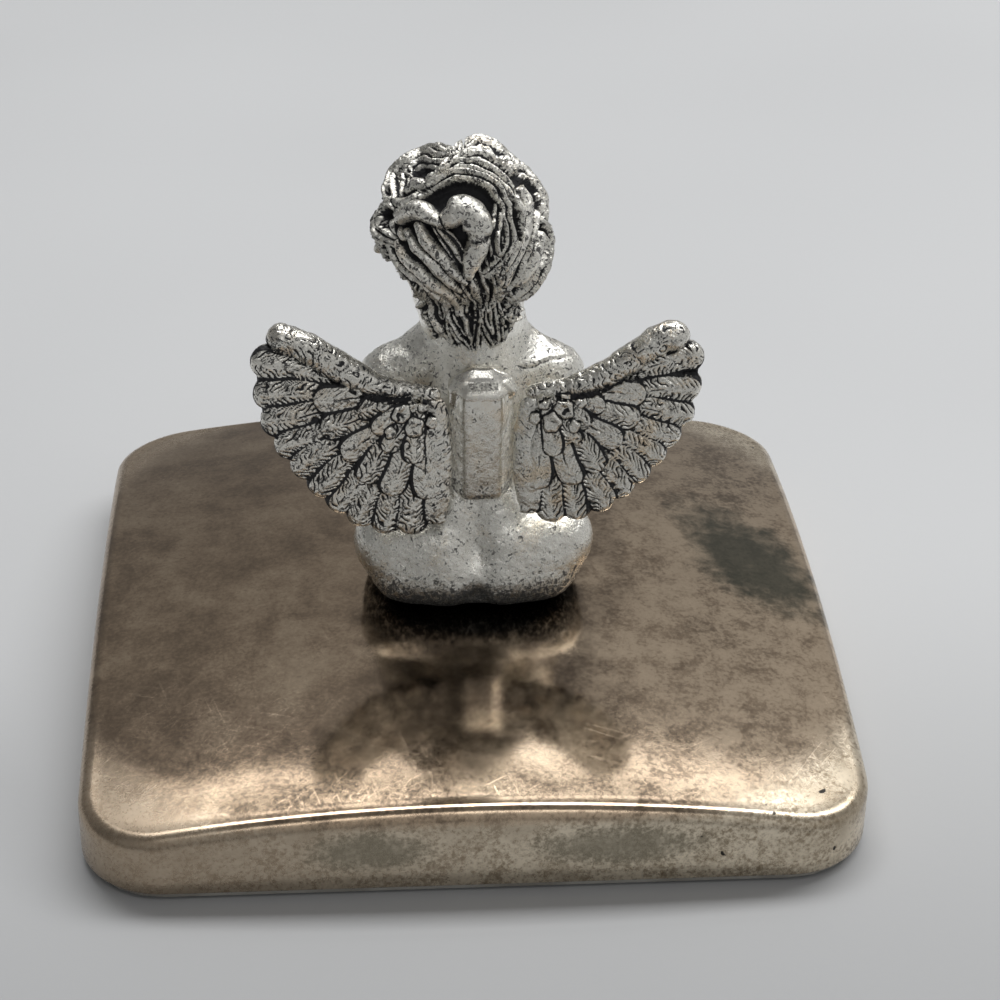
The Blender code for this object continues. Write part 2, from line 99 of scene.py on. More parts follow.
class Shade:  # one material, or the world, and the nodes in it
    def __init__(self, name, owner=None):
        self.material = owner or bpy.data.materials.new(name)
        self.material.use_nodes = True
        self.tree = self.material.node_tree
        self.shader = self.tree.nodes["Background" if owner else "Principled BSDF"]

    def node(self, kind, settings=None, sockets=None, out=0):
        made = self.tree.nodes.new("ShaderNode" + kind)
        for key, value in (settings or {}).items():
            if key == "stops":
                ramp = made.color_ramp.elements
                while len(ramp) < len(value):
                    ramp.new(0.5)
                for stop, (place, colour) in zip(ramp, value):
                    stop.position = place
                    stop.color = (*colour, 1.0)
            else:
                setattr(made, key, value)
        for key, value in (sockets or {}).items():
            self.feed(made.inputs[key], value)
        return Value(self, made.outputs[out])

    def feed(self, socket, value):
        if isinstance(value, Value):
            self.tree.links.new(value.socket, socket)
        else:
            socket.default_value = value

    def place(self, stretch=(1, 1, 1), turn=0.0):
        # the surface's own place in mm, turned about Z, then stretched
        spot = self.node("TexCoord", out=3) * (1 / mm)
        if turn:
            spot = self.node("VectorRotate", {"rotation_type": "Z_AXIS"}, {"Vector": spot, "Angle": turn})
        return spot * stretch if stretch != (1, 1, 1) else spot

    def axis(self, spot, index):
        return self.node("SeparateXYZ", sockets={0: spot}, out=index)

    def noise(self, spot, scale, detail, roughness=0.5, distortion=0.0):
        sockets = {"Vector": spot, "Scale": scale, "Detail": detail, "Roughness": roughness}
        return self.node("TexNoise", sockets=sockets | {"Distortion": distortion})

    def blend(self, factor, first, second):
        first, second = ((*c, 1.0) if isinstance(c, tuple) else c for c in (first, second))
        return self.node("Mix", {"data_type": "RGBA"}, {0: factor, 6: first, 7: second}, out=2)

    def ramp(self, value, *stops):
        return self.node("ValToRGB", {"stops": stops}, {"Fac": value})

    def attribute(self, name):
        return self.node("Attribute", {"attribute_name": name}, out=2)

    def bump(self, height, depth, strength):
        sockets = {"Strength": strength, "Distance": depth, "Height": height}
        self.feed(self.shader.inputs["Normal"], self.node("Bump", sockets=sockets))

    def finish(self, **sockets):
        for key, value in sockets.items():
            if isinstance(value, tuple):
                value = (*value, 1.0)
            self.feed(self.shader.inputs[key.replace("_", " ")], value)
        return self.material


# materials
def oval(across, up, middle, half):  # 0 in the middle of an oval and 1 along its edge
    x, y = (across - middle[0]) / half[0], (up - middle[1]) / half[1]
    return x * x + y * y


def makeTarnishedPlate():
    look = {
        "dark": (0.205, 0.155, 0.112),
        "brown": (0.365, 0.277, 0.197),
        "pale": (0.52, 0.415, 0.30),
        "mottle": (0.64, 0.515, 0.38),
        "copper": (0.82, 0.62, 0.43),
        "green": (0.085, 0.090, 0.070),
        "wall": (0.77, 0.675, 0.53),
        "wallDark": (0.27, 0.21, 0.14),
        "wallShade": (0.25, 0.222, 0.165),
        "sootyShade": (0.062, 0.047, 0.036),
        "pitAndSeatShadow": (0.03, 0.027, 0.024),
        # places and half sizes in mm, seen from above, or from the near side for those on the wall
        "stain": ((36.5, 2.0), (16.0, 8.5)),
        "sootAndShade": ((2.2, -13.0), (15.0, 26.0)),
        # seat: where the painted shadow under the figure's seat lies
        "seat": ((1.2, -6.0), (11.6, 9.4)),
        "wallPatches": (((-12.0, 6.4), (7.0, 2.8)), ((15.0, 6.4), (10.0, 2.8))),
        # scratches: direction, then how tightly they run along and across it
        "scratches": ((0.35, 0.05, 3.2), (-0.55, 0.06, 4.0), (1.25, 0.045, 3.4), (2.2, 0.07, 5.2)),
        "wallTop": 10.4, "nearWall": -42.0, "wornEdge": (43.05, 43.35),
    }
    s = Shade("tarnishedPlate")
    spot = s.place()
    axes = [s.axis(spot, i) for i in range(3)]
    cloud = s.noise(spot, 0.075, 3, 0.55, 0.6)
    patches = s.noise(spot, 0.32, 4, 0.6, 0.3)
    grain = s.noise(spot, 2.1, 4, 0.65)
    flecks = s.noise(spot, 1.9, 3, 0.6, 0.4)
    tone = (cloud * 0.5 + patches * 0.28 + grain * 0.30).rise(0.36, 0.74)
    top = s.ramp(tone, (0.0, look["dark"]), (0.5, look["brown"]), (1.0, look["pale"]))
    # polishing scratches, each set of lines in its own direction
    lines = None
    for turn, reach, fine in look["scratches"]:
        mark = s.noise(s.place((reach, fine, fine * 0.4), turn), 1.0, 2, 0.6).rise(0.60, 0.74)
        lines = mark if lines is None else lines + mark
    veil = s.noise(spot, 0.12, 2, 0.5).rise(0.38, 0.66)
    lines = (lines * veil).least(1.0)
    top = s.blend(lines * 0.20, top, look["pale"])
    # copper blush along the near and side edges, where plate has worn thin
    nearRim = (axes[1] * -1.0 + patches * 9.0).rise(33.0, 45.0)
    blush = nearRim.most((axes[0] + patches * 10.0).rise(38.0, 48.0) * 0.5)
    top = s.blend(blush * (flecks * 0.6 + patches * 0.4).rise(0.38, 0.60) * 0.6, top, look["copper"])
    top = s.blend(flecks.rise(0.56, 0.72) * 0.45, top, look["dark"])
    # paler, finely mottled plate to the right
    right = (axes[0] * 0.026 + (cloud - 0.5) * 1.6).rise(-0.6, 1.0)
    right = right * (patches * 0.5 + flecks * 0.5).rise(0.38, 0.60)
    top = s.blend(right * 0.85, top, look["mottle"])
    # dark stain on the right, slanting towards the near corner
    (middleX, middleY), half = look["stain"]
    offX, offY = axes[0] - middleX, axes[1] - middleY
    away = oval(offX * 0.55 - offY * 0.84, offX * 0.84 + offY * 0.55, (0, 0), half)
    away = away + (patches - 0.5) * 2.0 + (cloud - 0.5) * 1.6
    top = s.blend(away.rise(0.05, 1.15, 0.85, 0.0), top, look["green"])
    # sooty tarnish spreading from the figure towards the near rim, which is also painted shade: it darkens
    # the figure's reflection in the dome
    away = oval(*axes[:2], *look["sootAndShade"]) + (patches - 0.5) * 0.9 + (cloud - 0.5) * 0.8
    top = s.blend(away.rise(0.05, 1.15, 0.84, 0.0), top, look["sootyShade"])
    # painted shadow: black under the edge of the figure's seat, standing in for its contact shadow on the
    # dome
    away = oval(*axes[:2], *look["seat"]) + (patches - 0.5) * 0.5
    top = s.blend(away.rise(0.85, 1.25, 0.95, 0.0), top, look["pitAndSeatShadow"])
    # the wall, paler and mottled, with broad dark patches and pits on its near side
    wallTone = (patches * 0.40 + grain * 0.72).rise(0.36, 0.70)
    wall = s.blend(wallTone, look["wallDark"], look["wall"])
    blotches = s.noise(spot, 0.11, 2, 0.5, 0.4).rise(0.50, 0.72) * grain.rise(0.32, 0.62)
    wall = s.blend(blotches * 0.6, wall, look["wallDark"])
    pits = s.noise(spot, 0.62, 1, 0.4).rise(0.755, 0.775)
    wall = s.blend(axes[0].rise(-46.0, 20.0, 0.75, 0.0), wall, look["brown"])
    for middle, half in look["wallPatches"]:
        away = oval(axes[0], axes[2], middle, half) + (patches - 0.5) * 1.6 + (grain - 0.5) * 2.0
        near = axes[1].rise(look["nearWall"] + 4.0, look["nearWall"])
        wall = s.blend(away.rise(0.1, 1.4, 0.8, 0.0) * near, wall, look["wallShade"])
    wall = s.blend(pits * axes[0].rise(16.0, 26.0), wall, look["pitAndSeatShadow"])
    low = axes[2].rise(look["wallTop"] - 1.4, look["wallTop"], 1.0, 0.0)
    colour = s.blend(low, top, wall)
    # duller on the wall and on the outer half of the round-over
    fromMiddle = [s.node("Math", {"operation": "ABSOLUTE"}, {0: axis}) for axis in axes[:2]]
    worn = low.most(fromMiddle[0].most(fromMiddle[1]).rise(*look["wornEdge"]))
    rough = grain * 0.07 + patches * 0.06 + lines * 0.10 + worn * 0.16 + 0.05
    s.bump(grain * 0.5 + flecks * 0.5 - lines * 0.2, 0.012 * mm, 0.5)
    return s.finish(Base_Color=colour, Roughness=rough, Metallic=1.0 - low * 0.12)


def makeCastSilver(name, warmth):
    look = {
        "silver": (0.93, 0.91, 0.845),
        "grey": (0.79, 0.77, 0.705),
        "warm": (0.84, 0.72, 0.56),
        "black": (0.012, 0.012, 0.014),
    }
    s = Shade(name)
    spot = s.place()
    recess = s.attribute("recess")
    dirt = s.attribute("dirt")
    fine = s.noise(spot, 3.8, 4, 0.62)
    middle = s.noise(spot, 1.5, 3, 0.6, 0.5)
    wide = s.noise(spot, 0.28, 2, 0.5)
    # black: patina in the hollows, and painted shade where a piece adds darkening at shaded places
    grimeAndShade = (recess + (fine - 0.5) * 0.60).rise(0.38, 0.58)
    specks = s.noise(spot, 1.75, 4, 0.7, 1.2)
    # specks, denser where a piece asks for dirt, and beside the saddle's bar as painted shade
    freckles = (specks + dirt * 0.26 + (middle - 0.5) * 0.35).rise(0.64, 0.71)
    grimeAndShade = grimeAndShade.most(freckles * 0.9)
    silver = s.blend(middle.rise(0.35, 0.68), look["grey"], look["silver"])
    silver = s.blend((wide * 0.6 + fine * 0.4).rise(0.52, 0.66) * warmth, silver, look["warm"])
    colour = s.blend(grimeAndShade, silver, look["black"])
    coarse = s.attribute("coarse")
    rough = middle * 0.15 + fine * 0.11 + grimeAndShade * 0.25 + coarse * 0.08 + 0.09
    s.bump((fine * 0.45 + middle * 0.8) * coarse, 0.20 * mm, 0.9)
    return s.finish(Base_Color=colour, Roughness=rough, Metallic=1.0 - grimeAndShade * 0.75)


# dark and pale colour of each plainer finish
plainColours = {
    "plainPlate": ((0.50, 0.47, 0.42), (0.70, 0.68, 0.63)),
    "screwSteel": ((0.46, 0.46, 0.47), (0.68, 0.68, 0.70)),
    "velvet": ((0.012, 0.022, 0.085), (0.045, 0.08, 0.24)),
    "felt": ((0.012, 0.012, 0.014), (0.05, 0.05, 0.055)),
}


def makePlainPlate():
    s = Shade("plainPlate")
    spot = s.place()
    cloud = s.noise(spot, 0.12, 3, 0.5)
    grain = s.noise(s.place((0.15, 4.0, 1.0)), 1.0, 3, 0.6)
    colour = s.blend(cloud.rise(0.35, 0.65), *plainColours["plainPlate"])
    s.bump(grain, 0.01 * mm, 0.4)
    return s.finish(Base_Color=colour, Roughness=grain * 0.18 + cloud * 0.1 + 0.2, Metallic=1.0)


def makeScrewSteel():
    s = Shade("screwSteel")
    spot = s.place()
    wear = s.noise(spot, 2.2, 3, 0.6)
    colour = s.blend(wear.rise(0.4, 0.65), *plainColours["screwSteel"])
    s.bump(wear, 0.01 * mm, 0.4)
    return s.finish(Base_Color=colour, Roughness=wear * 0.25 + 0.22, Metallic=1.0)


def makePile(name, scale, sheen):  # cloth with a short pile that lies in patches
    s = Shade(name)
    spot = s.place()
    pile = s.noise(spot, scale, 4, 0.7)
    lay = s.noise(spot, 0.16, 3, 0.6, 1.0)
    colour = s.blend((pile * 0.55 + lay * 0.45).rise(0.36, 0.66), *plainColours[name])
    s.bump(pile, 0.12 * mm, 0.9)
    return s.finish(
        Base_Color=colour,
        Roughness=0.95 - lay * 0.12,
        Sheen_Weight=sheen,
        Sheen_Roughness=0.4,
        Sheen_Tint=(0.55, 0.62, 0.95),
    )


tarnishedPlate = makeTarnishedPlate()
castSilver = makeCastSilver("castSilver", 0.5)
wornSilver = makeCastSilver("wornSilver", 0.95)
plainPlate = makePlainPlate()
screwSteel = makeScrewSteel()
velvet = makePile("velvet", 5.5, 0.7)
felt = makePile("felt", 3.2, 0.15)
print("materials made")


# mesh helpers
def addPiece(name, mesh, material, body, slot, *nodes):
    mesh.name = name
    mesh.materials.clear()
    mesh.materials.append(material)
    mesh.shade_smooth()
    piece = bpy.data.objects.new(name, mesh)
    scene.collection.objects.link(piece)
    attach(piece, body)
    if nodes:
        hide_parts(*nodes)
    return piece


def meshFrom(points, faces):
    mesh = bpy.data.meshes.new("piece")
    mesh.from_pydata([tuple(p) for p in points], [], [tuple(f) for f in faces])
    mesh.update()
    return mesh


def squareUp(mesh):  # every face turned outward
    bm = bmesh.new()
    bm.from_mesh(mesh)
    bmesh.ops.recalc_face_normals(bm, faces=bm.faces)
    bm.to_mesh(mesh)
    bm.free()
    mesh.update()
    return mesh


def getPoints(mesh):
    flat = np.empty(len(mesh.vertices) * 3)
    mesh.vertices.foreach_get("co", flat)
    return flat.reshape(-1, 3)


def setPoints(mesh, points):
    mesh.vertices.foreach_set("co", np.ascontiguousarray(points).ravel())
    mesh.update()


def getNormals(mesh):
    flat = np.empty(len(mesh.vertices) * 3)
    mesh.vertex_normals.foreach_get("vector", flat)
    return flat.reshape(-1, 3)


def setShares(mesh, **shares):  # values from 0 to 1 at each point, which the cast silver reads
    for name, values in shares.items():
        layer = mesh.attributes.new(name, "FLOAT", "POINT")
        values = np.broadcast_to(values, len(mesh.vertices))
        layer.data.foreach_set("value", np.clip(values, 0, 1).astype(np.float32))


def soften(mesh, points, rounds):  # each point drifts to the middle of its neighbours
    flat = np.empty(len(mesh.edges) * 2, np.int32)
    mesh.edges.foreach_get("vertices", flat)
    near, far = flat.reshape(-1, 2).T
    size = len(points)
    count = np.bincount(near, minlength=size) + np.bincount(far, minlength=size)
    count = np.maximum(count, 1)[:, None]
    for _ in range(rounds):
        total = [
            np.bincount(near, points[far, i], size) + np.bincount(far, points[near, i], size)
            for i in range(3)
        ]
        points = 0.5 * points + 0.5 * np.stack(total, 1) / count
    return points


def hollowness(mesh, rounds):  # how deep each point lies under its softened surface
    points = getPoints(mesh)
    return ((soften(mesh, points, rounds) - points) * getNormals(mesh)).sum(1)


def step(low, high, values):  # smooth step from 0 at low to 1 at high
    share = np.clip((values - low) / (high - low), 0, 1)
    return share * share * (3 - 2 * share)


def halfRound(share, power=2):  # height of a round back, 1 in the middle and 0 at share 1
    return np.sqrt(np.clip(1 - share ** power, 0, 1))


def spread(points, centre, radius):  # soft spot round a place, 1 in its middle
    return np.exp(-((points - centre) ** 2).sum(1) / radius ** 2)


def lattice(cells, seed):  # a number from 0 to 1 for each whole-numbered cell
    mixed = cells[..., 0] * 374761393 + cells[..., 1] * 668265263 + cells[..., 2] * 2147483647
    mixed = mixed + seed * 144665
    mixed = (mixed ^ (mixed >> 13)) * 1274126177
    return ((mixed ^ (mixed >> 16)) & 0xFFFF) / 65535.0


def chance(i, j, k, seed):  # the same number from 0 to 1 each run
    return lattice(np.array([[i, j, k]]), seed)[0]


def cloudiness(points, scale, seed):  # smooth noise from 0 to 1 at any points
    spots = np.asarray(points, float) * scale
    cells = np.floor(spots).astype(np.int64)
    share = spots - cells
    share = share * share * (3 - 2 * share)
    total = 0.0
    for corner in range(8):
        shift = np.array([corner & 1, corner >> 1 & 1, corner >> 2 & 1])
        weight = np.where(shift, share, 1 - share).prod(-1)
        total = total + weight * lattice(cells + shift, seed)
    return total


def addHull(bm, balls):
    points = bmesh.new()
    for centre, radius in balls:
        place = Matrix.Translation(Vector(centre))
        bmesh.ops.create_icosphere(points, subdivisions=3, radius=radius, matrix=place)
    bmesh.ops.delete(points, geom=points.faces[:], context="FACES_ONLY")
    bmesh.ops.delete(points, geom=points.edges[:], context="EDGES_FACES")
    made = bmesh.ops.convex_hull(points, input=points.verts, use_existing_faces=False)
    spare = {v for v in made["geom_interior"] + made["geom_unused"] if isinstance(v, bmesh.types.BMVert)}
    bmesh.ops.delete(points, geom=list(spare), context="VERTS")
    bmesh.ops.recalc_face_normals(points, faces=points.faces)
    hull = bpy.data.meshes.new("hull")
    points.to_mesh(hull)
    points.free()
    bm.from_mesh(hull)
    bpy.data.meshes.remove(hull)


def melt(bm, voxel, rounds):  # overlapping solids become one skin
    rough = bpy.data.meshes.new("rough")
    bm.to_mesh(rough)
    bm.free()
    lump = bpy.data.objects.new("lump", rough)
    scene.collection.objects.link(lump)
    remesh = lump.modifiers.new("melt", "REMESH")
    remesh.mode = "VOXEL"
    remesh.voxel_size = voxel
    graph = bpy.context.evaluated_depsgraph_get()
    mesh = bpy.data.meshes.new_from_object(lump.evaluated_get(graph))
    bpy.data.objects.remove(lump)
    setPoints(mesh, soften(mesh, getPoints(mesh), rounds))
    return mesh


def grained(points, *layers):  # layers of noise about zero: strength, scale and seed of each
    total = sum(strength * cloudiness(points, scale, seed) for strength, scale, seed in layers)
    return total - sum(strength for strength, _, _ in layers) / 2


def push(points, ways, height):  # moves each point along its own way
    points += ways * height[:, None]


def slabCloud(u, v, depth, scale, seed):  # smooth noise over a grid in a wing's own plane
    return cloudiness(np.stack([u, v, depth], -1), scale, seed)


def gridFaces(rows, columns, wrapRows=False, wrapColumns=False, start=0):
    faces = []
    for i in range(rows if wrapRows else rows - 1):
        here, below = start + i * columns, start + (i + 1) % rows * columns
        for j in range(columns if wrapColumns else columns - 1):
            right = (j + 1) % columns
            faces.append((here + j, below + j, below + right, here + right))
    return faces


def curveThrough(points, count):  # evenly spaced places on a smooth line through the points
    points = np.asarray(points, float)
    padded = np.vstack([2 * points[0] - points[1], points, 2 * points[-1] - points[-2]])
    places = []
    for i in range(len(points) - 1):
        a, b, c, d = padded[i:i + 4]
        for t in np.linspace(0, 1, 14, endpoint=False):
            bend = (2 * a - 5 * b + 4 * c - d) * t ** 2
            places.append(0.5 * (2 * b + (c - a) * t + bend + (3 * b - a - 3 * c + d) * t ** 3))
    places.append(points[-1])
    places = np.array(places)
    length = np.r_[0, np.cumsum(np.linalg.norm(np.diff(places, axis=0), axis=1))]
    even = np.linspace(0, length[-1], count)
    return np.stack([np.interp(even, length, places[:, i]) for i in range(points.shape[1])], 1)


def tangents(path):
    along = np.gradient(path, axis=0)
    return along / np.linalg.norm(along, axis=1)[:, None]


def addForms(bm, forms, ball, lone):  # each form is a hull of balls, mirrored unless named in lone
    for name, rows in forms.items():
        for side in (1,) if name in lone else (1, -1):
            addHull(bm, [ball(row, side) for row in rows])


print("helpers ready")


# lid shell, in mm; dome is the radius of the top, and the steps count the mesh's divisions
lid = {
    "half": 44.0, "corner": 9.6, "sheet": 0.9, "top": 15.3, "foot": 1.2,
    "dome": 232.0, "rimRound": 1.9, "lip": 0.3, "wave": 0.10, "leastCorner": 3.2,
    "cornerSteps": 22, "sideSteps": 44, "domeSteps": 46, "rimSteps": 14,
}


def boxOutline(inset):  # square with round corners, this far inside the lid's outside
    half, radius = lid["half"] - inset, max(lid["corner"] - inset, lid["leastCorner"])
    points = []
    for quarter in range(4):
        turn = math.pi / 2 * quarter
        middle = np.array([math.cos(turn + math.pi / 4), math.sin(turn + math.pi / 4)])
        middle = np.sign(middle) * (half - radius)
        for i in range(lid["cornerSteps"] + 1):
            angle = turn + math.pi / 2 * i / lid["cornerSteps"]
            points.append(middle + radius * np.array([math.cos(angle), math.sin(angle)]))
        start = points[-1]
        along = np.array([-math.cos(turn), -math.sin(turn)])
        for i in range(1, lid["sideSteps"]):
            points.append(start + along * 2 * (half - radius) * i / lid["sideSteps"])
    return np.array(points)


def domeFall(places):  # how far the dome has dropped below its top
    return lid["dome"] - np.sqrt(lid["dome"] ** 2 - (places ** 2).sum(-1))


def flatRing(outline, height):
    return np.c_[outline, np.full(len(outline), height)]


def domeRing(outline, top):
    return np.c_[outline, top - domeFall(outline)]


def makeLid():
    edge = boxOutline(lid["rimRound"])
    edgeTop = lid["top"] - domeFall(edge)
    rings = [domeRing(edge * share, lid["top"]) for share in np.linspace(0.02, 1, lid["domeSteps"])]
    for i in range(1, lid["rimSteps"] + 1):
        angle = math.pi / 2 * i / lid["rimSteps"]
        ring = boxOutline(lid["rimRound"] * (1 - math.sin(angle)))
        rings.append(np.c_[ring, edgeTop - lid["rimRound"] * (1 - math.cos(angle))])
    wallTop = rings[-1][:, 2]
    low = lid["foot"] + lid["lip"]
    for share in (0.25, 0.5, 0.75, 1.0):
        rings.append(np.c_[boxOutline(0), wallTop + (low - wallTop) * share])
    rings.append(flatRing(boxOutline(lid["lip"] * 0.3), lid["foot"] + lid["lip"] * 0.3))
    rings.append(flatRing(boxOutline(lid["lip"]), lid["foot"]))
    inner = boxOutline(lid["sheet"])
    rings.append(flatRing(inner, lid["foot"]))
    innerTop = lid["top"] - lid["sheet"]
    rings += [domeRing(inner * share, innerTop) for share in (1.0, 0.97, 0.85, 0.7, 0.5, 0.3, 0.02)]
    columns = len(edge)
    points = np.vstack(rings + [[[0, 0, lid["top"]]], [[0, 0, innerTop]]])
    # hand-worked sheet: very shallow waves on the dome, none near its rim
    wave = (cloudiness(points, 0.075, 3) - 0.5) * lid["wave"]
    outside = np.arange(len(points)) < lid["domeSteps"] * columns
    points[:, 2] += np.where(outside, wave * step(lid["half"], 30, np.abs(points[:, :2]).max(1)), 0)
    faces = gridFaces(len(rings), columns, wrapColumns=True)
    last = (len(rings) - 1) * columns
    for j in range(columns):
        faces.append((j, (j + 1) % columns, len(points) - 2))
        faces.append((last + (j + 1) % columns, last + j, len(points) - 1))
    mesh = squareUp(meshFrom(points * mm, faces))
    return addPiece("lidShell", mesh, tarnishedPlate, "lid", "tarnished_plate", "lid_shell")


makeLid()
print("lid made")


# tray metal and screws keep the CAD shapes
def dress(node, material):
    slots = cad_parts[node].data.materials
    slots.clear()
    slots.append(material)


dress("base_tray", plainPlate)
for side in ("left", "right"):
    dress("figure_screw_" + side, screwSteel)
    dress("figure_washer_" + side, screwSteel)


# felt and velvet
def clothSheet(rings, seed, rough, wrap=False):
    points = np.vstack(rings)
    columns = len(rings[0])
    faces = gridFaces(len(rings), columns, wrapRows=wrap, wrapColumns=True)
    if not wrap:
        faces.append(tuple(range(columns)))
        faces.append(tuple(range((len(rings) - 1) * columns, len(rings) * columns))[::-1])
    mesh = squareUp(meshFrom(points * mm, faces))
    spots = getPoints(mesh) / mm
    push(spots, getNormals(mesh), grained(spots, (1, 2.2, seed), (1, 0.6, seed + 1)) * rough)
    setPoints(mesh, spots * mm)
    return mesh


def makeFeltFoot():
    foot = {"inset": 3.4, "low": 0.02, "thick": 0.5}
    shares = np.linspace(0.04, 1, 26)
    edge = boxOutline(foot["inset"])
    under = [flatRing(edge * share, foot["low"]) for share in shares]
    over = [flatRing(edge * share, foot["thick"]) for share in shares[::-1]]
    mesh = clothSheet(under + over, 5, 0.03)
    piece = addPiece("feltFoot", mesh, felt, "base", "felt", "felt_foot")


def makeFloorPad():
    pad = {"inset": 2.7, "foot": 1.7, "thick": 0.6, "rim": 0.72}
    edge = boxOutline(pad["inset"])
    rings = [flatRing(edge * share, pad["foot"]) for share in np.linspace(0.04, 1, 12)]
    for share in np.linspace(1, 0.04, 40):
        crown = pad["rim"] + (1 - pad["rim"]) * step(0, 0.02, 1 - share)
        rings.append(flatRing(edge * share, pad["foot"] + pad["thick"] * crown))
    mesh = clothSheet(rings, 8, 0.06)
    piece = addPiece("floorPad", mesh, velvet, "base", "velvet", "tray_floor_pad")


def makeWallBand():
    band = {"inset": 2.2, "thick": 0.5, "foot": 1.7, "top": 6.5}
    outer, inner = boxOutline(band["inset"]), boxOutline(band["inset"] + band["thick"])
    levels = np.linspace(band["foot"], band["top"], 12)
    rings = [flatRing(outer, z) for z in levels] + [flatRing(inner, z) for z in levels[::-1]]
    mesh = clothSheet(rings, 11, 0.04, wrap=True)
    piece = addPiece("wallBand", mesh, velvet, "base", "velvet", "tray_wall_lining")


def makeLidLining():
    lining = {"inset": 5.2, "top": 14.1, "thick": 0.7}
    edge = boxOutline(lining["inset"])
    rings = [domeRing(edge * share, lining["top"]) for share in np.linspace(0.04, 1, 24)]
    under = lining["top"] - lining["thick"]
    rings += [domeRing(edge * share, under) for share in np.linspace(1, 0.04, 30)]
    mesh = clothSheet(rings, 14, 0.05)
    piece = addPiece("lidLining", mesh, velvet, "lid", "velvet", "lid_lining")


makeFeltFoot()
makeFloorPad()
makeWallBand()
makeLidLining()
print("linings made")


# cherub: every place below is in mm from where its seat meets the dome
cherub = {"stand": (1.2, 0.0, 15.3), "seatWidth": 28.8, "torsoDepth": 13.5, "shoulderRise": 29.5}


def onStand(points):
    return (np.asarray(points) + cherub["stand"]) * mm


def bodyBall(row, side=1):
    across, forward, up, radius = row
    wide, deep, tall = cherub["seatWidth"], cherub["torsoDepth"], cherub["shoulderRise"]
    return (side * across * wide, forward * deep, up * tall), radius * wide


# balls of each form: place across, forward and up, then radius, as shares of the figure's sizes
body = {
    "forms": {
        "rump": (
            (0.335, -0.42, 0.215, 0.160), (0.130, -0.50, 0.225, 0.160), (0.292, -0.60, 0.110, 0.122),
            (0.105, -0.68, 0.108, 0.121), (0.335, -0.05, 0.110, 0.125), (0.222, 0.20, 0.200, 0.208),
        ),
        "torso": ((0.170, -0.05, 0.45, 0.205), (0.205, 0.00, 0.69, 0.215), (0.300, 0.02, 0.862, 0.138)),
        "belly": ((0.0, 0.20, 0.40, 0.25), (0.0, 0.12, 0.62, 0.24)),
        "small": ((0.070, -0.40, 0.410, 0.118), (0.100, -0.35, 0.27, 0.19)),
        "seat": ((0.0, -0.655, 0.115, 0.124), (0.0, 0.10, 0.18, 0.20)),
        "chest": ((0.13, 0.28, 0.78, 0.13), (0.10, 0.22, 0.68, 0.13)),
        "neck": ((0.02, 0.00, 0.88, 0.235), (0.01, 0.04, 1.08, 0.215)),
        "slope": ((0.230, 0.02, 0.875, 0.150), (0.06, 0.03, 0.97, 0.18)),
        "thigh": ((0.270, -0.05, 0.23, 0.20), (0.262, 0.88, 0.40, 0.150)),
        "shin": ((0.262, 0.88, 0.40, 0.140), (0.190, 1.12, 0.12, 0.092)),
        "calf": ((0.250, 0.86, 0.30, 0.122), (0.215, 0.98, 0.20, 0.105)),
        "foot": ((0.188, 1.08, 0.060, 0.085), (0.205, 1.44, 0.040, 0.066)),
        "upperArm": ((0.345, 0.05, 0.86, 0.112), (0.392, 0.52, 0.62, 0.100)),
        "forearm": ((0.392, 0.52, 0.62, 0.098), (0.080, 1.06, 0.60, 0.070)),
        "hand": ((0.080, 1.06, 0.60, 0.070), (0.020, 1.10, 0.605, 0.062)),
    },
    # navel, small of the back, cleft of the seat: place, radius and depth in mm
    "dents": (
        ((0.0, 9.4, 12.8), 1.0, 0.9), ((0.7, -7.2, 16.0), 4.0, 0.3), ((0.2, -13.2, 4.2), 1.2, 0.45),
        ((0.2, -12.6, 1.9), 1.0, 0.65), ((0.2, -12.6, 3.0), 0.8, 0.5), ((0.2, -11.8, 8.2), 1.5, 0.2),
    ),
    # flatter places on top of the shoulders, where the cast metal shines: place, the way they face, radius
    "flats": (
        ((8.4, -1.4, 29.1), (0.14, -0.36, 0.92), 4.6), ((-7.6, -1.8, 29.2), (-0.22, -0.36, 0.90), 1.2),
    ),
    # how dark each crease is, then its places
    "creases": {
        "rightShoulder": (
            0.8, (4.4, -4.8, 29.2), (5.9, -4.0, 28.2), (7.1, -3.5, 28.2), (8.3, -2.7, 28.4),
            (10.0, -1.9, 28.3), (12.0, 0.2, 27.6),
        ),
        "cleft": (0.8, (0.2, -13.3, 5.4), (0.3, -13.3, 3.8), (0.3, -13.0, 2.2), (0.3, -12.4, 0.9)),
        "leftShoulder": (0.4, (-5.6, -3.9, 28.6), (-8.6, -3.0, 28.2), (-11.4, -1.0, 27.6)),
        "rightElbow": (0.4, (9.0, 6.0, 17.6), (11.4, 6.4, 16.4), (13.4, 5.0, 16.8)),
        "leftElbow": (0.4, (-9.0, 6.0, 17.6), (-11.4, 6.4, 16.4), (-13.4, 5.0, 16.8)),
    },
    "creaseWidth": 0.20, "creaseDepth": 0.22, "creaseSteps": 40, "hammered": 0.17,
    # size in mm of the melted skin's grid, and how often it is softened
    "limbSkin": (0.30, 26), "fingerSkin": (0.21, 5),
}


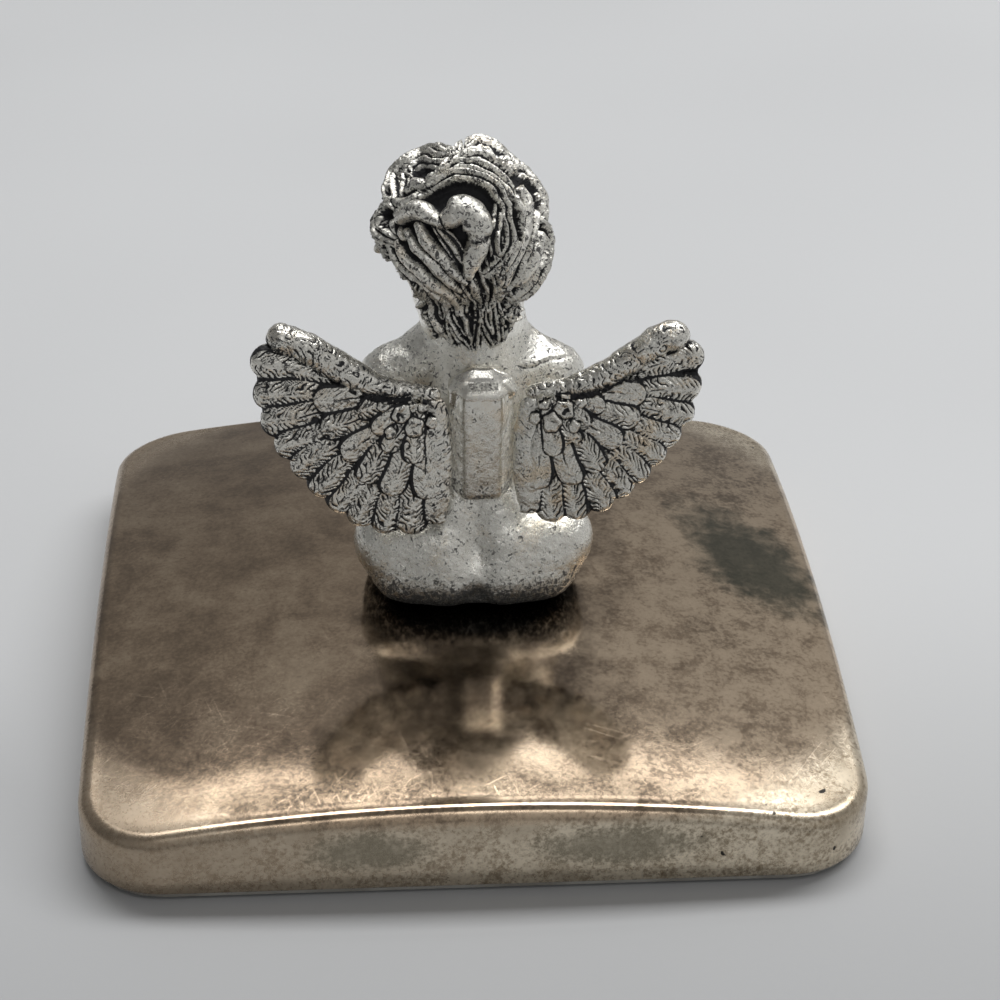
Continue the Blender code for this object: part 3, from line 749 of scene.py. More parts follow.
def makeBody():
    bm = bmesh.new()
    addForms(bm, body["forms"], bodyBall, ("belly", "seat", "neck"))
    limbs = melt(bm, *body["limbSkin"])
    bm = bmesh.new()
    bm.from_mesh(limbs)
    for side in (1, -1):
        for i in range(4):  # fingers folded over the other forearm
            rise = 0.612 + side * 0.012 - 0.022 * i
            near = bodyBall((0.030, 1.13 + 0.01 * i, rise, 0.030), side)
            middle = bodyBall((-0.045, 1.20 - side * 0.03, rise - 0.004, 0.029), side)
            tip = bodyBall((-0.105, 1.17 - side * 0.05, rise - 0.016, 0.025), side)
            addHull(bm, [near, middle])
            addHull(bm, [middle, tip])
        for i in range(5):  # toes, the inner one largest
            size = 0.034 - 0.0032 * i
            base = (0.168 + 0.026 * i, 1.48 - 0.018 * i * i * 0.4, 0.034, size)
            end = (0.166 + 0.029 * i, 1.60 - 0.022 * i * i * 0.5, 0.026, size * 0.9)
            addHull(bm, [bodyBall(base, side), bodyBall(end, side)])
    mesh = melt(bm, *body["fingerSkin"])
    points = getPoints(mesh)
    normals = getNormals(mesh)
    for centre, radius, depth in body["dents"]:
        push(points, normals, -spread(points, centre, radius) * depth)
    for centre, tilt, radius in body["flats"]:
        above = np.maximum((points - centre) @ np.array(tilt), 0)
        points -= np.array(tilt) * (above * spread(points, centre, radius) * 0.8)[:, None]
    line = np.zeros(len(points))
    for dark, *places in body["creases"].values():
        near = np.full(len(points), 9.0)
        for place in curveThrough(places, body["creaseSteps"]):
            near = np.minimum(near, ((points - place) ** 2).sum(1))
        near = np.sqrt(near) + 0.22 * (cloudiness(points, 1.4, 25) - 0.4)
        line = np.maximum(line, np.exp(-(near / body["creaseWidth"]) ** 2) * dark)
    push(points, normals, -line * body["creaseDepth"])
    hammered = grained(points, (1, 0.5, 21), (0.6, 1.2, 22), (0.4, 2.4, 23))
    push(points, normals, hammered * body["hammered"])
    # flat where it sits on the dome
    floor = -domeFall((points + cherub["stand"])[:, :2]) + 0.3
    points[:, 2] = np.maximum(points[:, 2], floor)
    setPoints(mesh, points)
    deep = np.maximum(hollowness(mesh, 30) / 0.55, hollowness(mesh, 6) / 0.16)
    deep *= 1 - 0.7 * spread(points, (0.7, -7.5, 11.5), 3.2)
    # painted shade: darker in the bottom 4 mm, where the body sits on the dome
    low = step(4.0, 1.0, points[:, 2])
    shoulder = np.exp(-((np.abs(points[:, 0]) - 8) ** 2 + (points[:, 2] - 29) ** 2) / 16)
    dirt = 0.24 + 0.60 * step(6.2, 1.8, points[:, 2]) + 0.2 * step(12, 20, points[:, 1])
    recess = 0.09 + 0.30 * deep + line * 0.5 + low * 0.20
    setShares(mesh, recess=recess, dirt=dirt + 0.15 * shoulder, coarse=0.8 + 1.6 * shoulder)
    setPoints(mesh, onStand(points))
    return addPiece("cherubBody", mesh, castSilver, "lid", "antique_silver", "cherub_body")


# balls of the block and of the rim round its top: place and radius in mm
saddle = {
    "x": 0.7, "rimBack": 6.9, "archTop": 29.02, "shine": (0, -0.725, 0.688), "rough": 0.09,
    "skin": (0.15, 9),
    "block": (
        (-1.45, -8.35, 14.75, 1.15), (1.5, -8.35, 14.75, 1.15), (-1.4, -8.40, 27.2, 1.1),
        (1.35, -8.40, 27.2, 1.1), (-2.9, -6.0, 14.4, 1.0), (2.8, -6.0, 14.4, 1.0),
        (-2.9, -6.0, 27.5, 1.0), (2.8, -6.0, 27.5, 1.0), (-1.7, -6.9, 28.5, 0.8), (1.7, -6.9, 28.5, 0.8),
    ),
    "rim": (
        (-3.1, 25.8, 0.80), (-2.95, 27.2, 1.00), (-2.2, 28.35, 1.10), (-0.85, 29.0, 1.15),
        (1.0, 28.95, 1.15), (2.4, 28.25, 1.10), (3.1, 27.2, 1.00),
    ),
}


def makeSaddle():
    bm = bmesh.new()
    addHull(bm, [(place, radius) for *place, radius in saddle["block"]])
    rim = [((x, -saddle["rimBack"], z), radius) for x, z, radius in saddle["rim"]]
    for pair in zip(rim, rim[1:]):
        addHull(bm, pair)
    mesh = melt(bm, *saddle["skin"])
    points = getPoints(mesh)
    push(points, getNormals(mesh), grained(points, (1, 0.7, 31), (0.5, 1.7, 32)) * saddle["rough"])
    points[:, 0] += saddle["x"]
    # narrow flat along the arch of the rim
    across = np.abs(points[:, 0] - saddle["x"])
    shine = np.array(saddle["shine"])
    arch = saddle["archTop"] - 0.09 * across ** 2 - 0.007 * across ** 4
    above = np.maximum(points @ shine - (arch * shine[2] - saddle["rimBack"] * shine[1] + 0.96), 0)
    above *= step(-8.35, -8.0, points[:, 1]) * step(27.2, 27.8, points[:, 2])
    points -= shine * (above * 0.95)[:, None]
    setPoints(mesh, points)
    # painted shade: darker on the flanks beside the bar, in a patch under the rim's arch and at the foot of
    # the block; more specks low down and on the flanks
    shadedFlanks = step(2.2, 3.4, across) * step(28.4, 27.0, points[:, 2])
    shadeUnderRim = step(27.9, 28.2, points[:, 2]) * step(29.1, 28.8, points[:, 2]) * step(2.2, 1.6, across)
    recess = 0.08 + 0.26 * step(15.2, 13.6, points[:, 2]) + 0.22 * shadedFlanks + 0.38 * shadeUnderRim
    dirt = 0.12 + 0.42 * step(18.0, 14.0, points[:, 2]) + 0.20 * shadedFlanks
    coarse = 0.25 + 0.70 * step(28.9, 28.5, points[:, 2]) * step(27.0, 27.6, points[:, 2])
    setShares(mesh, recess=recess, dirt=dirt, coarse=coarse + 0.35 * step(27.0, 24.0, points[:, 2]))
    setPoints(mesh, onStand(points))
    return addPiece("wingSaddle", mesh, castSilver, "lid", "antique_silver", "wing_saddle")


makeBody()
makeSaddle()
print("body and saddle made")


# wings: relief over a fan of feathers, in the wing's own plane
wing = {
    "out": 4.5, "back": 8.4, "rise": 28.1, "sweep": 12, "tilt": 9, "root": 0.16,
    "edge": 1.55, "barb": 0.74, "rough": 0.13, "columns": 150, "rows": 330, "turnings": 72, "rings": 130,
    # first and last angle, root and half width as shares of the span, base height in mm, crown in mm,
    # then how far each tip reaches as a share of the span
    "feathers": (
        (
            19.5, -97, 0.30, 0.108, 0.00, 0.50,
            (1.07, 1.02, 0.98, 0.93, 0.90, 0.89, 0.90, 0.92, 0.93, 0.93, 0.89),
        ),
        (7, -92, 0.16, 0.098, 0.40, 0.52, (0.66, 0.64, 0.60, 0.64, 0.66, 0.68)),
        (-6, -80, 0.04, 0.080, 0.78, 0.42, (0.40, 0.36, 0.40, 0.43)),
    ),
    # small round feathers at the root: place as shares of the span, size in mm, how hollow the middle is
    "beads": (
        (0.15, -0.05, 0.85, 0.2), (0.29, -0.085, 1.25, 0.6), (0.215, -0.185, 1.30, 0.3),
        (0.10, -0.17, 0.80, 0.2), (0.40, -0.02, 0.75, 0.0), (0.36, -0.20, 0.80, 0.1),
    ),
    # thick leading edge and the plain strip down the inner edge: place as shares of the span, thickness
    "arm": (
        (0.02, -0.03, 0.50), (0.16, 0.01, 0.62), (0.32, 0.05, 0.80), (0.50, 0.13, 1.00), (0.68, 0.26, 1.10),
        (0.86, 0.40, 1.12), (1.065, 0.495, 1.08),
    ),
    "strip": (
        (0.075, -0.03, 0.85), (0.065, -0.20, 1.12), (0.062, -0.40, 1.18), (0.068, -0.60, 1.20),
        (0.09, -0.78, 1.10), (0.115, -0.86, 0.95),
    ),
}


def wingPath(line, span, count):
    return curveThrough([(a * span, b * span, r * wing["edge"]) for a, b, r in line], count)


def fanOutline(angles, span):
    reach = np.zeros(len(angles))
    first, last, _, half, _, _, tips = wing["feathers"][0]
    tipAngles = np.radians(np.linspace(first, last, len(tips)))
    radius = span * half
    for tipAngle, tip in zip(tipAngles, tips):
        middle = span * tip - radius
        offset = middle * np.sin(angles - tipAngle)
        inside = np.abs(offset) < radius
        far = middle * np.cos(angles - tipAngle) + np.sqrt(np.clip(radius ** 2 - offset ** 2, 0, None))
        reach = np.maximum(reach, np.where(inside & (np.cos(angles - tipAngle) > 0), far, 0))
    notch = np.interp(-angles, -tipAngles, np.array(tips) * span) - radius * 0.34
    reach = np.where(angles > tipAngles[0], reach, np.maximum(reach, notch))
    reach = np.maximum(reach, 0.92 * span * (angles > tipAngles[0]))
    lean = np.clip(-np.cos(angles), 1e-3, None)
    inner = np.minimum(reach, (wing["root"] * span - 0.35) / lean)
    return np.where(angles < math.radians(-95), inner, reach)


def layFeather(u, v, span, grit, angle, row, i, plain):  # where one feather lies, its height and its ink
    _, _, root, half, base, crown, tips = wing["feathers"][row]
    radius, start, length = span * half, span * root, span * (tips[i] - root)
    out = u - wing["root"] * span
    along = out * math.cos(angle) + v * math.sin(angle) - start
    across = -out * math.sin(angle) + v * math.cos(angle)
    across = across + 0.12 * np.sin(along * 1.1 + i * 2.0)
    bulk = radius * (0.62 + 0.42 * step(0, length * 0.8, along))
    tipPart = along - (length - radius)
    blunt = halfRound(np.clip(tipPart, 0, radius) / radius, 3)
    width = np.where(tipPart > 0, blunt * bulk, bulk)
    width = np.where((along < -radius * 0.5) | (tipPart > radius), 0, width)
    share = np.where(width > 0.02, np.abs(across) / np.maximum(width, 0.02), 2.0)
    # barbs slant off the quill
    phase = (along + np.abs(across) * 1.15) / wing["barb"] + (grit - 0.5) * 1.6
    ridge = np.abs(np.sin(math.pi * phase))
    depth = (0.07 if plain else 0.20) * step(0.0, 0.30, share) * step(1.0, 0.72, share)
    quill = np.exp(-(across / 0.13) ** 2) * step(length, length * 0.5, along)
    own = base + crown * halfRound(share) ** 0.7 - depth * (1 - ridge) * 1.2 - 0.12 * quill
    own = own + 0.16 * across / radius + 0.10 * step(0, length, along)
    strokes = step(0.60, 0.20, ridge) * step(0.36, 0.54, grit + (0.06 if plain else 0.22))
    strokes = strokes * step(0.10, 0.26, share) * (0.45 if plain else 1.0)
    border = step(0.50, 0.22, (1 - share) * np.maximum(width, 0.02))
    mark = np.maximum(np.maximum(strokes * 0.85, border), 0.75 * quill * step(0.45, 0.6, grit))
    return share < 1, own, mark


def featherRelief(u, v, span, seed):  # height and ink over the whole fan
    height = np.full(u.shape, -0.25)
    ink = np.full(u.shape, 1.0)
    grit = slabCloud(u, v, np.zeros_like(u), 1.3, seed)
    rough = slabCloud(u, v, np.zeros_like(u), 2.6, seed + 5)
    for row, (first, last, *_, tips) in enumerate(wing["feathers"]):
        for i in range(len(tips)):
            wobble = (chance(i, row, seed, 5) - 0.5) * 3.0
            angle = math.radians(first + (last - first) * i / (len(tips) - 1) + wobble)
            plain = row > 0 and chance(i, row, seed, 9) > 0.35
            inside, own, mark = layFeather(u, v, span, grit, angle, row, i, plain)
            better = inside & (own > height)
            height = np.where(better, own, height)
            ink = np.where(better, mark, ink)
    for across, up, size, hole in wing["beads"]:
        way = np.arctan2(v - up * span, u - across * span)
        far = np.hypot(u - across * span, (v - up * span) * 0.92) / size
        far = far + 0.30 * (grit - 0.5) + 0.05 * np.cos(way * 5 + up * 90)
        inside = far < 0.95
        bead = 1.48 + 0.16 * np.exp(-((far - 0.66) / 0.26) ** 2) - 0.42 * hole * np.exp(-(far / 0.36) ** 2)
        blot = hole * 1.5 * step(0.66, 0.30, far + 0.9 * (rough - 0.5))
        blot = blot * step(-0.2, 0.5, np.sin(way + across * 30))
        ink = np.where(inside, np.maximum(step(0.72, 0.92, far), blot), ink)
        height = np.where(inside, bead * halfRound(far / 1.05) ** 0.4, height)
    # a dark groove where the feathers slip under the arm
    gap = np.full(u.shape, 9.0)
    for placeU, placeV, radius in wingPath(wing["arm"], span, 60):
        gap = np.minimum(gap, np.hypot(u - placeU, v - placeV) - radius)
    middle = np.exp(-((u / span - 0.42) / 0.10) ** 2)
    groove = step(0.08 + 0.16 * middle, 0.0, gap + 0.3 * (rough - 0.5))
    groove = groove * step(0.30, 0.50, rough + 0.3 * middle)
    return height - 0.35 * groove, np.maximum(ink, groove)


def wingTube(line, span, seed, flat, barbed):  # places and ink of a tube along one of the wing's lines
    path = wingPath(line, span, wing["rings"])
    way = tangents(path[:, :2])
    length = np.r_[0, np.cumsum(np.linalg.norm(np.diff(path[:, :2], axis=0), axis=1))]
    around = np.linspace(0, 2 * math.pi, wing["turnings"], endpoint=False)
    fromEnd = np.minimum(length, length[-1] - length) / path[:, 2]
    ends = np.sqrt(np.clip(1 - (1 - fromEnd).clip(0) ** 2, 0.003, 1))
    lateral, depth = np.cos(around)[None, :], np.sin(around)[None, :]
    radius = (path[:, 2] * ends)[:, None] * np.ones_like(lateral)

    def spots(size):
        return path[:, :1] - way[:, 1:] * lateral * size, path[:, 1:2] + way[:, :1] * lateral * size

    u, v = spots(radius)
    grit = slabCloud(u, v, depth * radius + 40, 1.1, seed + 3)
    lumps = slabCloud(u, v, depth * radius, 0.45, seed + 4) - 0.5
    phase = (length[:, None] + np.abs(lateral) * radius * 0.8) / 0.85 + (grit - 0.5) * 2.6
    ridge = np.abs(np.sin(math.pi * phase))
    facing = step(0.1, 0.5, np.abs(depth)) * np.ones_like(radius)
    carve = (0.15 if barbed else 0.05) * facing
    grown = radius * (1 + 0.06 * (grit - 0.5) + 0.22 * lumps) - carve * (1 - ridge) * ends[:, None]
    u, v = spots(grown)
    strokes = step(0.50, 0.15, ridge) * step(0.42, 0.55, grit + (0.14 if barbed else -0.02)) * facing
    # painted shade: black along the side of the tube that faces the feathers below it
    under = (0.7 if barbed else 0.3) * step(-0.72, -0.95, lateral) * np.ones_like(radius)
    ink = np.maximum(strokes * (0.9 if barbed else 0.8), under)
    return np.stack([u, depth * grown * flat - 0.25, v], -1).reshape(-1, 3), ink.ravel()


def makeWing(name, side, span, seed, age, material, node):
    columns, rows = wing["columns"], wing["rows"]
    angles = np.radians(np.linspace(31, -150, rows))
    reach = fanOutline(angles, span)
    shares = np.linspace(0.03, 1, columns) ** 0.85
    u = wing["root"] * span + np.outer(reach * np.cos(angles), shares)
    v = np.outer(reach * np.sin(angles), shares)
    height, ink = featherRelief(u, v, span, seed)
    rim = halfRound(np.clip((shares[None, :] - 0.955) / 0.045, 0, 1))
    back = -(0.22 + rim * np.maximum(height + 0.28, 0.02) * 0.95)
    front = 0.18 + 0.42 * rim * (0.45 + np.clip(height, -0.2, 0.9) * 0.55)
    points = [np.stack([u, depth, v], -1).reshape(-1, 3) for depth in (back, front)]
    marks = [ink.ravel(), ink.ravel() * 0.7]
    half = rows * columns
    faces = gridFaces(rows, columns) + [f[::-1] for f in gridFaces(rows, columns, start=half)]
    border = [(i * columns + columns - 1, (i + 1) * columns + columns - 1) for i in range(rows - 1)]
    border += [((i + 1) * columns, i * columns) for i in range(rows - 1)]
    border += [(j, j + 1) for j in range(columns - 1)]
    border += [((rows - 1) * columns + j + 1, (rows - 1) * columns + j) for j in range(columns - 1)]
    faces += [(a, b, b + half, a + half) for a, b in border]
    turnings, rings = wing["turnings"], wing["rings"]
    count = 2 * half
    for line, flat, barbed in ((wing["arm"], 1.0, True), (wing["strip"], 0.55, False)):
        tube, mark = wingTube(line, span, seed, flat, barbed)
        faces += gridFaces(rings, turnings, wrapColumns=True, start=count)
        faces.append(tuple(range(count, count + turnings)))
        faces.append(tuple(range(count + (rings - 1) * turnings, count + rings * turnings))[::-1])
        points.append(tube)
        marks.append(mark)
        count += len(tube)
    # from the wing's own plane to its place beside the saddle
    sweep = Matrix.Rotation(math.radians(-wing["sweep"]), 4, "Z")
    tilt = Matrix.Rotation(math.radians(-wing["tilt"]), 4, "X")
    place = Matrix.Translation((wing["out"], -wing["back"], wing["rise"])) @ (sweep @ tilt)
    place = np.array(Matrix.Translation((saddle["x"], 0, 0)) @ Matrix.Diagonal((side, 1, 1, 1)) @ place)
    mesh = squareUp(meshFrom(np.vstack(points) @ place[:3, :3].T + place[:3, 3], faces))
    points = getPoints(mesh)
    rough = grained(points, (1, 1.1, seed + 7), (0.6, 2.4, seed + 8))
    push(points, getNormals(mesh), rough * wing["rough"])
    setPoints(mesh, points)
    deep = hollowness(mesh, 8) / 0.10
    setShares(mesh, recess=age + 0.20 * deep + 0.62 * np.concatenate(marks), dirt=age * 1.5, coarse=0.6)
    setPoints(mesh, onStand(points))
    return addPiece(name, mesh, material, "lid", "antique_silver", node)


# side, span in mm, seed, how dark the casting has gone
makeWing("leftWing", -1, 18.4, 41, 0.28, castSilver, "left_wing")
makeWing("rightWing", 1, 17.1, 57, 0.18, wornSilver, "right_wing")
print("wings made")


# head
# half sizes and heights in mm; lookDown is the angle of the view that the locks are laid out in, and
# lockSteps counts the places along each
head = {
    "half": (9.25, 10.0, 11.3), "rise": 42.6, "lean": 1.1, "taper": 0.22, "lookDown": 32, "foot": 29.7,
    "skullSkin": (0.26, 34), "faceSkin": (0.17, 4), "lockSteps": 40,
    # balls of each form: place and radius as shares of the half sizes
    "skull": {
        "cranium": ((0.0, 0.0, 0.14, 0.465), (0.0, 0.20, -0.16, 0.415)),
        "jaw": ((0.30, 0.52, -0.40, 0.225), (0.06, 0.62, -0.72, 0.135), (0.22, 0.15, -0.60, 0.265)),
        "cheek": ((0.40, 0.64, -0.36, 0.175),),
        "brow": ((0.34, 0.50, 0.16, 0.21), (0.0, 0.58, 0.22, 0.21)),
    },
    "face": {
        "bridge": ((0.0, 0.90, 0.10, 0.034), (0.0, 1.00, -0.14, 0.050)),
        "noseTip": ((0.0, 1.045, -0.185, 0.058), (0.0, 1.00, -0.14, 0.046)),
        "nostril": ((0.075, 0.985, -0.205, 0.036), (0.03, 1.01, -0.19, 0.040)),
        "upperLip": ((0.0, 0.965, -0.375, 0.028), (0.10, 0.915, -0.388, 0.022)),
        "lowerLip": ((0.0, 0.945, -0.440, 0.033), (0.075, 0.905, -0.432, 0.024)),
        "chin": ((0.0, 0.80, -0.64, 0.105), (0.05, 0.78, -0.66, 0.095)),
        "eyeBall": ((0.325, 0.775, -0.015, 0.092),),
        "browRidge": ((0.17, 0.885, 0.135, 0.034), (0.33, 0.835, 0.175, 0.034), (0.47, 0.73, 0.14, 0.026)),
        "ear": ((0.90, 0.16, 0.00, 0.055), (0.92, 0.08, -0.07, 0.050), (0.87, 0.17, -0.20, 0.042)),
    },
    # front hair from the crown over the brow and temples: height, number, half opening of the face
    # and length, all in degrees
    "frontRows": (
        (84, 6, 0, 34), (66, 11, 0, 36), (48, 12, 14, 34), (32, 11, 44, 34), (14, 10, 60, 36),
        (-6, 9, 70, 34), (-24, 8, 80, 28), (-40, 7, 90, 20),
    ),
    # the hairline: height up the head, and how far round from the middle of the face in degrees
    "hairline": ((-1.2, -0.55, -0.1, 0.3, 0.52, 0.66), (150, 112, 84, 60, 40, 0)),
    # locks seen from behind: half width and height in mm, strands, then places in hundredths across and up
    "backLocks": (
        (1.9, 2.1, 3, (-82, 34), (-82, 62), (-62, 82), (-38, 92), (-16, 88), (4, 82)),
        (1.0, 1.5, 2, (-72, 46), (-62, 68), (-43, 80), (-21, 76), (0, 80), (16, 86)),
        (1.5, 2.0, 3, (0, 84), (18, 95), (32, 98), (45, 91), (60, 80), (74, 66), (86, 52)),
        (1.6, 1.9, 2, (-30, 57), (-14, 65), (7, 76), (25, 80), (43, 73), (57, 62)),
        (
            1.15, 2.2, 2,
            (-45, 40), (-26, 49), (4, 57), (30, 51), (47, 34), (54, 12), (55, -10), (44, -32), (30, -47),
        ),
        (1.0, 2.0, 2, (-20, 64), (0, 70), (24, 68), (44, 58), (58, 42), (64, 24), (66, 4)),
        (0.8, 1.7, 1, (-82, 34), (-68, 31), (-54, 33), (-38, 41)),
        (0.9, 1.3, 1, (-66, 47), (-57, 52), (-46, 49)),
        (1.3, 2.0, 2, (-84, 34), (-95, 22), (-97, 8), (-90, -6)),
        (0.8, 1.6, 1, (-79, 22), (-84, 9), (-80, -5)),
        (1.1, 2.3, 1, (-75, 13), (-62, 19), (-50, 19), (-38, 11), (-28, 4)),
        (1.9, 2.8, 1, (-11, 9), (-1, 14), (9, 11), (16, -1), (16, -12)),
        (1.35, 2.5, 1, (16, -2), (17, -14), (13, -26), (8, -36), (4, -46)),
        (0.95, 1.8, 1, (-55, 3), (-48, -13), (-39, -26), (-25, -42), (-7, -58)),
        (0.95, 1.7, 2, (-34, 2), (-25, -10), (-16, -24), (-4, -40), (7, -55)),
        (0.8, 1.6, 1, (-71, -3), (-63, -19), (-48, -37), (-30, -55), (-14, -73)),
        (0.85, 1.7, 1, (-84, -12), (-78, -29), (-63, -45), (-46, -61), (-30, -77), (-20, -92)),
        (1.0, 1.7, 2, (-94, -4), (-88, -24), (-78, -40), (-62, -54), (-48, -70), (-36, -84)),
        (0.9, 1.8, 2, (44, 36), (47, 22), (44, 3), (38, -13), (39, -29), (45, -42)),
        (0.85, 1.9, 1, (56, 38), (66, 22), (65, 0), (57, -24), (48, -42)),
        (0.9, 1.8, 1, (46, 60), (64, 45), (76, 28), (76, 8), (69, -16), (58, -37), (52, -55)),
        (0.95, 1.9, 2, (64, 65), (79, 48), (86, 31), (85, 14), (79, -10), (71, -32), (58, -58)),
        (1.2, 2.1, 2, (89, 16), (96, 0), (96, -16), (86, -40), (73, -61), (58, -77)),
        (0.9, 1.8, 1, (80, 52), (89, 38), (93, 22), (94, 8)),
        (1.0, 1.9, 1, (91, 2), (87, -14), (80, -32), (69, -50)),
        (0.8, 1.6, 1, (92, -30), (82, -50), (68, -68), (52, -84)),
        (0.75, 1.5, 1, (37, -32), (41, -45), (46, -61), (47, -78)),
        (0.9, 1.5, 2, (27, -39), (34, -55), (39, -71), (37, -86)),
        (0.9, 1.6, 2, (14, -37), (20, -56), (28, -72), (26, -90)),
        (0.8, 1.5, 1, (0, -43), (4, -60), (11, -77), (16, -94)),
        (0.8, 1.5, 2, (-13, -53), (-7, -68), (3, -84), (8, -97)),
        (0.8, 1.4, 1, (-25, -61), (-15, -77), (-6, -92)),
    ),
    # deep gaps between the locks, which hold the black: half width in mm, then places as above
    "gaps": (
        (0.56, (-45, 25), (-32, 37), (-12, 44), (7, 43), (25, 36), (34, 24)),
        (0.42, (33, 26), (39, 12), (41, 0), (38, -16), (27, -33), (18, -45)),
        (0.55, (-84, 36), (-79, 52), (-60, 63), (-38, 70)),
        (0.50, (-62, 58), (-54, 54), (-45, 44)),
        (0.60, (-92, 26), (-82, 14), (-83, -2), (-77, -17)),
        (0.45, (-74, 2), (-60, 3), (-46, 2), (-30, -2), (-20, -7)),
        (0.70, (-20, -7), (-14, -18), (-10, -36)),
        (0.45, (-10, -34), (-4, -48), (2, -58)),
        (0.30, (-97, -11), (-77, -44), (-50, -85)),
        (0.33, (-64, -6), (-56, -26), (-42, -47), (-26, -68), (-12, -86)),
        (0.38, (-46, -4), (-38, -18), (-28, -32)),
        (0.45, (24, -48), (32, -63), (39, -76), (42, -93)),
        (0.32, (70, -40), (58, -60), (46, -80)),
        (0.30, (90, 8), (93, -8), (89, -30)),
        (0.16, (98, -6), (95, -32), (84, -56), (68, -74)),
        (0.13, (86, -16), (80, -38), (68, -60)),
        (0.30, (57, 24), (62, 8), (65, -16)),
        (0.30, (72, 56), (82, 40), (88, 22), (88, 2)),
        (0.36, (38, 73), (48, 65), (58, 55), (66, 46)),
        (0.40, (6, -60), (12, -76), (20, -92)),
    ),
    # swellings of the hair that shape its outline: place as above, spread and height in mm
    "swellings": (
        (-99, 8, 2.3, 0.9), (-95, -30, 2.0, 0.6), (-72, 68, 3.0, 0.7), (34, 94, 2.3, 0.8),
        (99, -12, 2.8, 0.6), (82, -56, 3.4, 1.9), (88, 42, 2.4, 0.5), (-52, 18, 1.6, 0.5),
        (-4, 14, 2.0, 0.5), (16, 2, 1.8, 0.4), (44, -20, 2.0, 0.3), (-60, -62, 2.4, 0.4),
    ),
}


def headPoint(row):
    across, forward, up = row
    narrow = 1 + head["taper"] * min(up, 0)
    return (
        across * narrow * head["half"][0] - head["lean"] * (1 + up),
        forward * head["half"][1],
        head["rise"] + up * head["half"][2],
    )


def headBall(row, side=1):
    return headPoint((side * row[0], *row[1:3])), row[3] * 2 * head["half"][0]


def fromBehind(a, b):  # a direction on the skull from its place in the view from above and behind
    a, b = a / 100, b / 100
    size = math.hypot(a, b)
    if size > 0.985:
        a, b = a * 0.985 / size, b * 0.985 / size
    c = math.sqrt(1 - a * a - b * b)
    tip = math.radians(head["lookDown"])
    return (a, b * math.sin(tip) - c * math.cos(tip), b * math.cos(tip) + c * math.sin(tip))


def hairPath(places):
    return [headPoint(fromBehind(a, b)) for a, b in places]


def frontLocks():  # rows of locks round the head, left out where the locks seen from behind lie
    rows = []
    tip = math.radians(head["lookDown"])
    behind = np.array([0, -math.cos(tip), math.sin(tip)])
    for index, (height, count, opening, drop) in enumerate(head["frontRows"]):
        for i in range(count):
            around = math.radians(90 + opening + (360 - 2 * opening) * (i + 0.5) / count)
            sway = (chance(i, index, 3, 2) - 0.5) * 0.7 + (0.25 if index % 2 else -0.25)
            places = []
            for t in np.linspace(0, 1, 5):
                up = math.radians(height - drop * t)
                turn = around + sway * t + 0.13 * math.sin(t * 6.0 + i)
                places.append((math.cos(up) * math.cos(turn), math.cos(up) * math.sin(turn), math.sin(up)))
            if np.array(places[2]) @ behind < (0.20 if height > 0 else -0.10):
                rows.append((1.25 + 0.3 * chance(i, index, 7, 4), 1.5, 2, [headPoint(p) for p in places]))
    return rows


def napeLocks():  # down the back of the neck, in mm
    rows = []
    for i, across in enumerate(np.linspace(-5.0, 5.0, 8)):
        lean = 0.7 * math.sin(i * 2.1)
        inward = 0.09 * across ** 2
        end = 31.1 + 0.08 * across ** 2
        rows.append((0.95 + 0.15 * math.sin(i * 4.3), 1.5, 2, [
            (across * 1.10 - 1.2, inward - 9.4, 38.6),
            (across + lean - 0.9, inward - 8.2, 36.2),
            (across * 0.85 - 0.3, inward - 7.3, (36.2 + end) / 2),
            (across * 0.60 - lean + 0.4, inward - 6.7, end),
        ]))
    return rows


def closeTo(places, path, reach):
    return np.where((np.abs(places - path.mean(0)) < np.ptp(path, axis=0) / 2 + reach).all(1))[0]


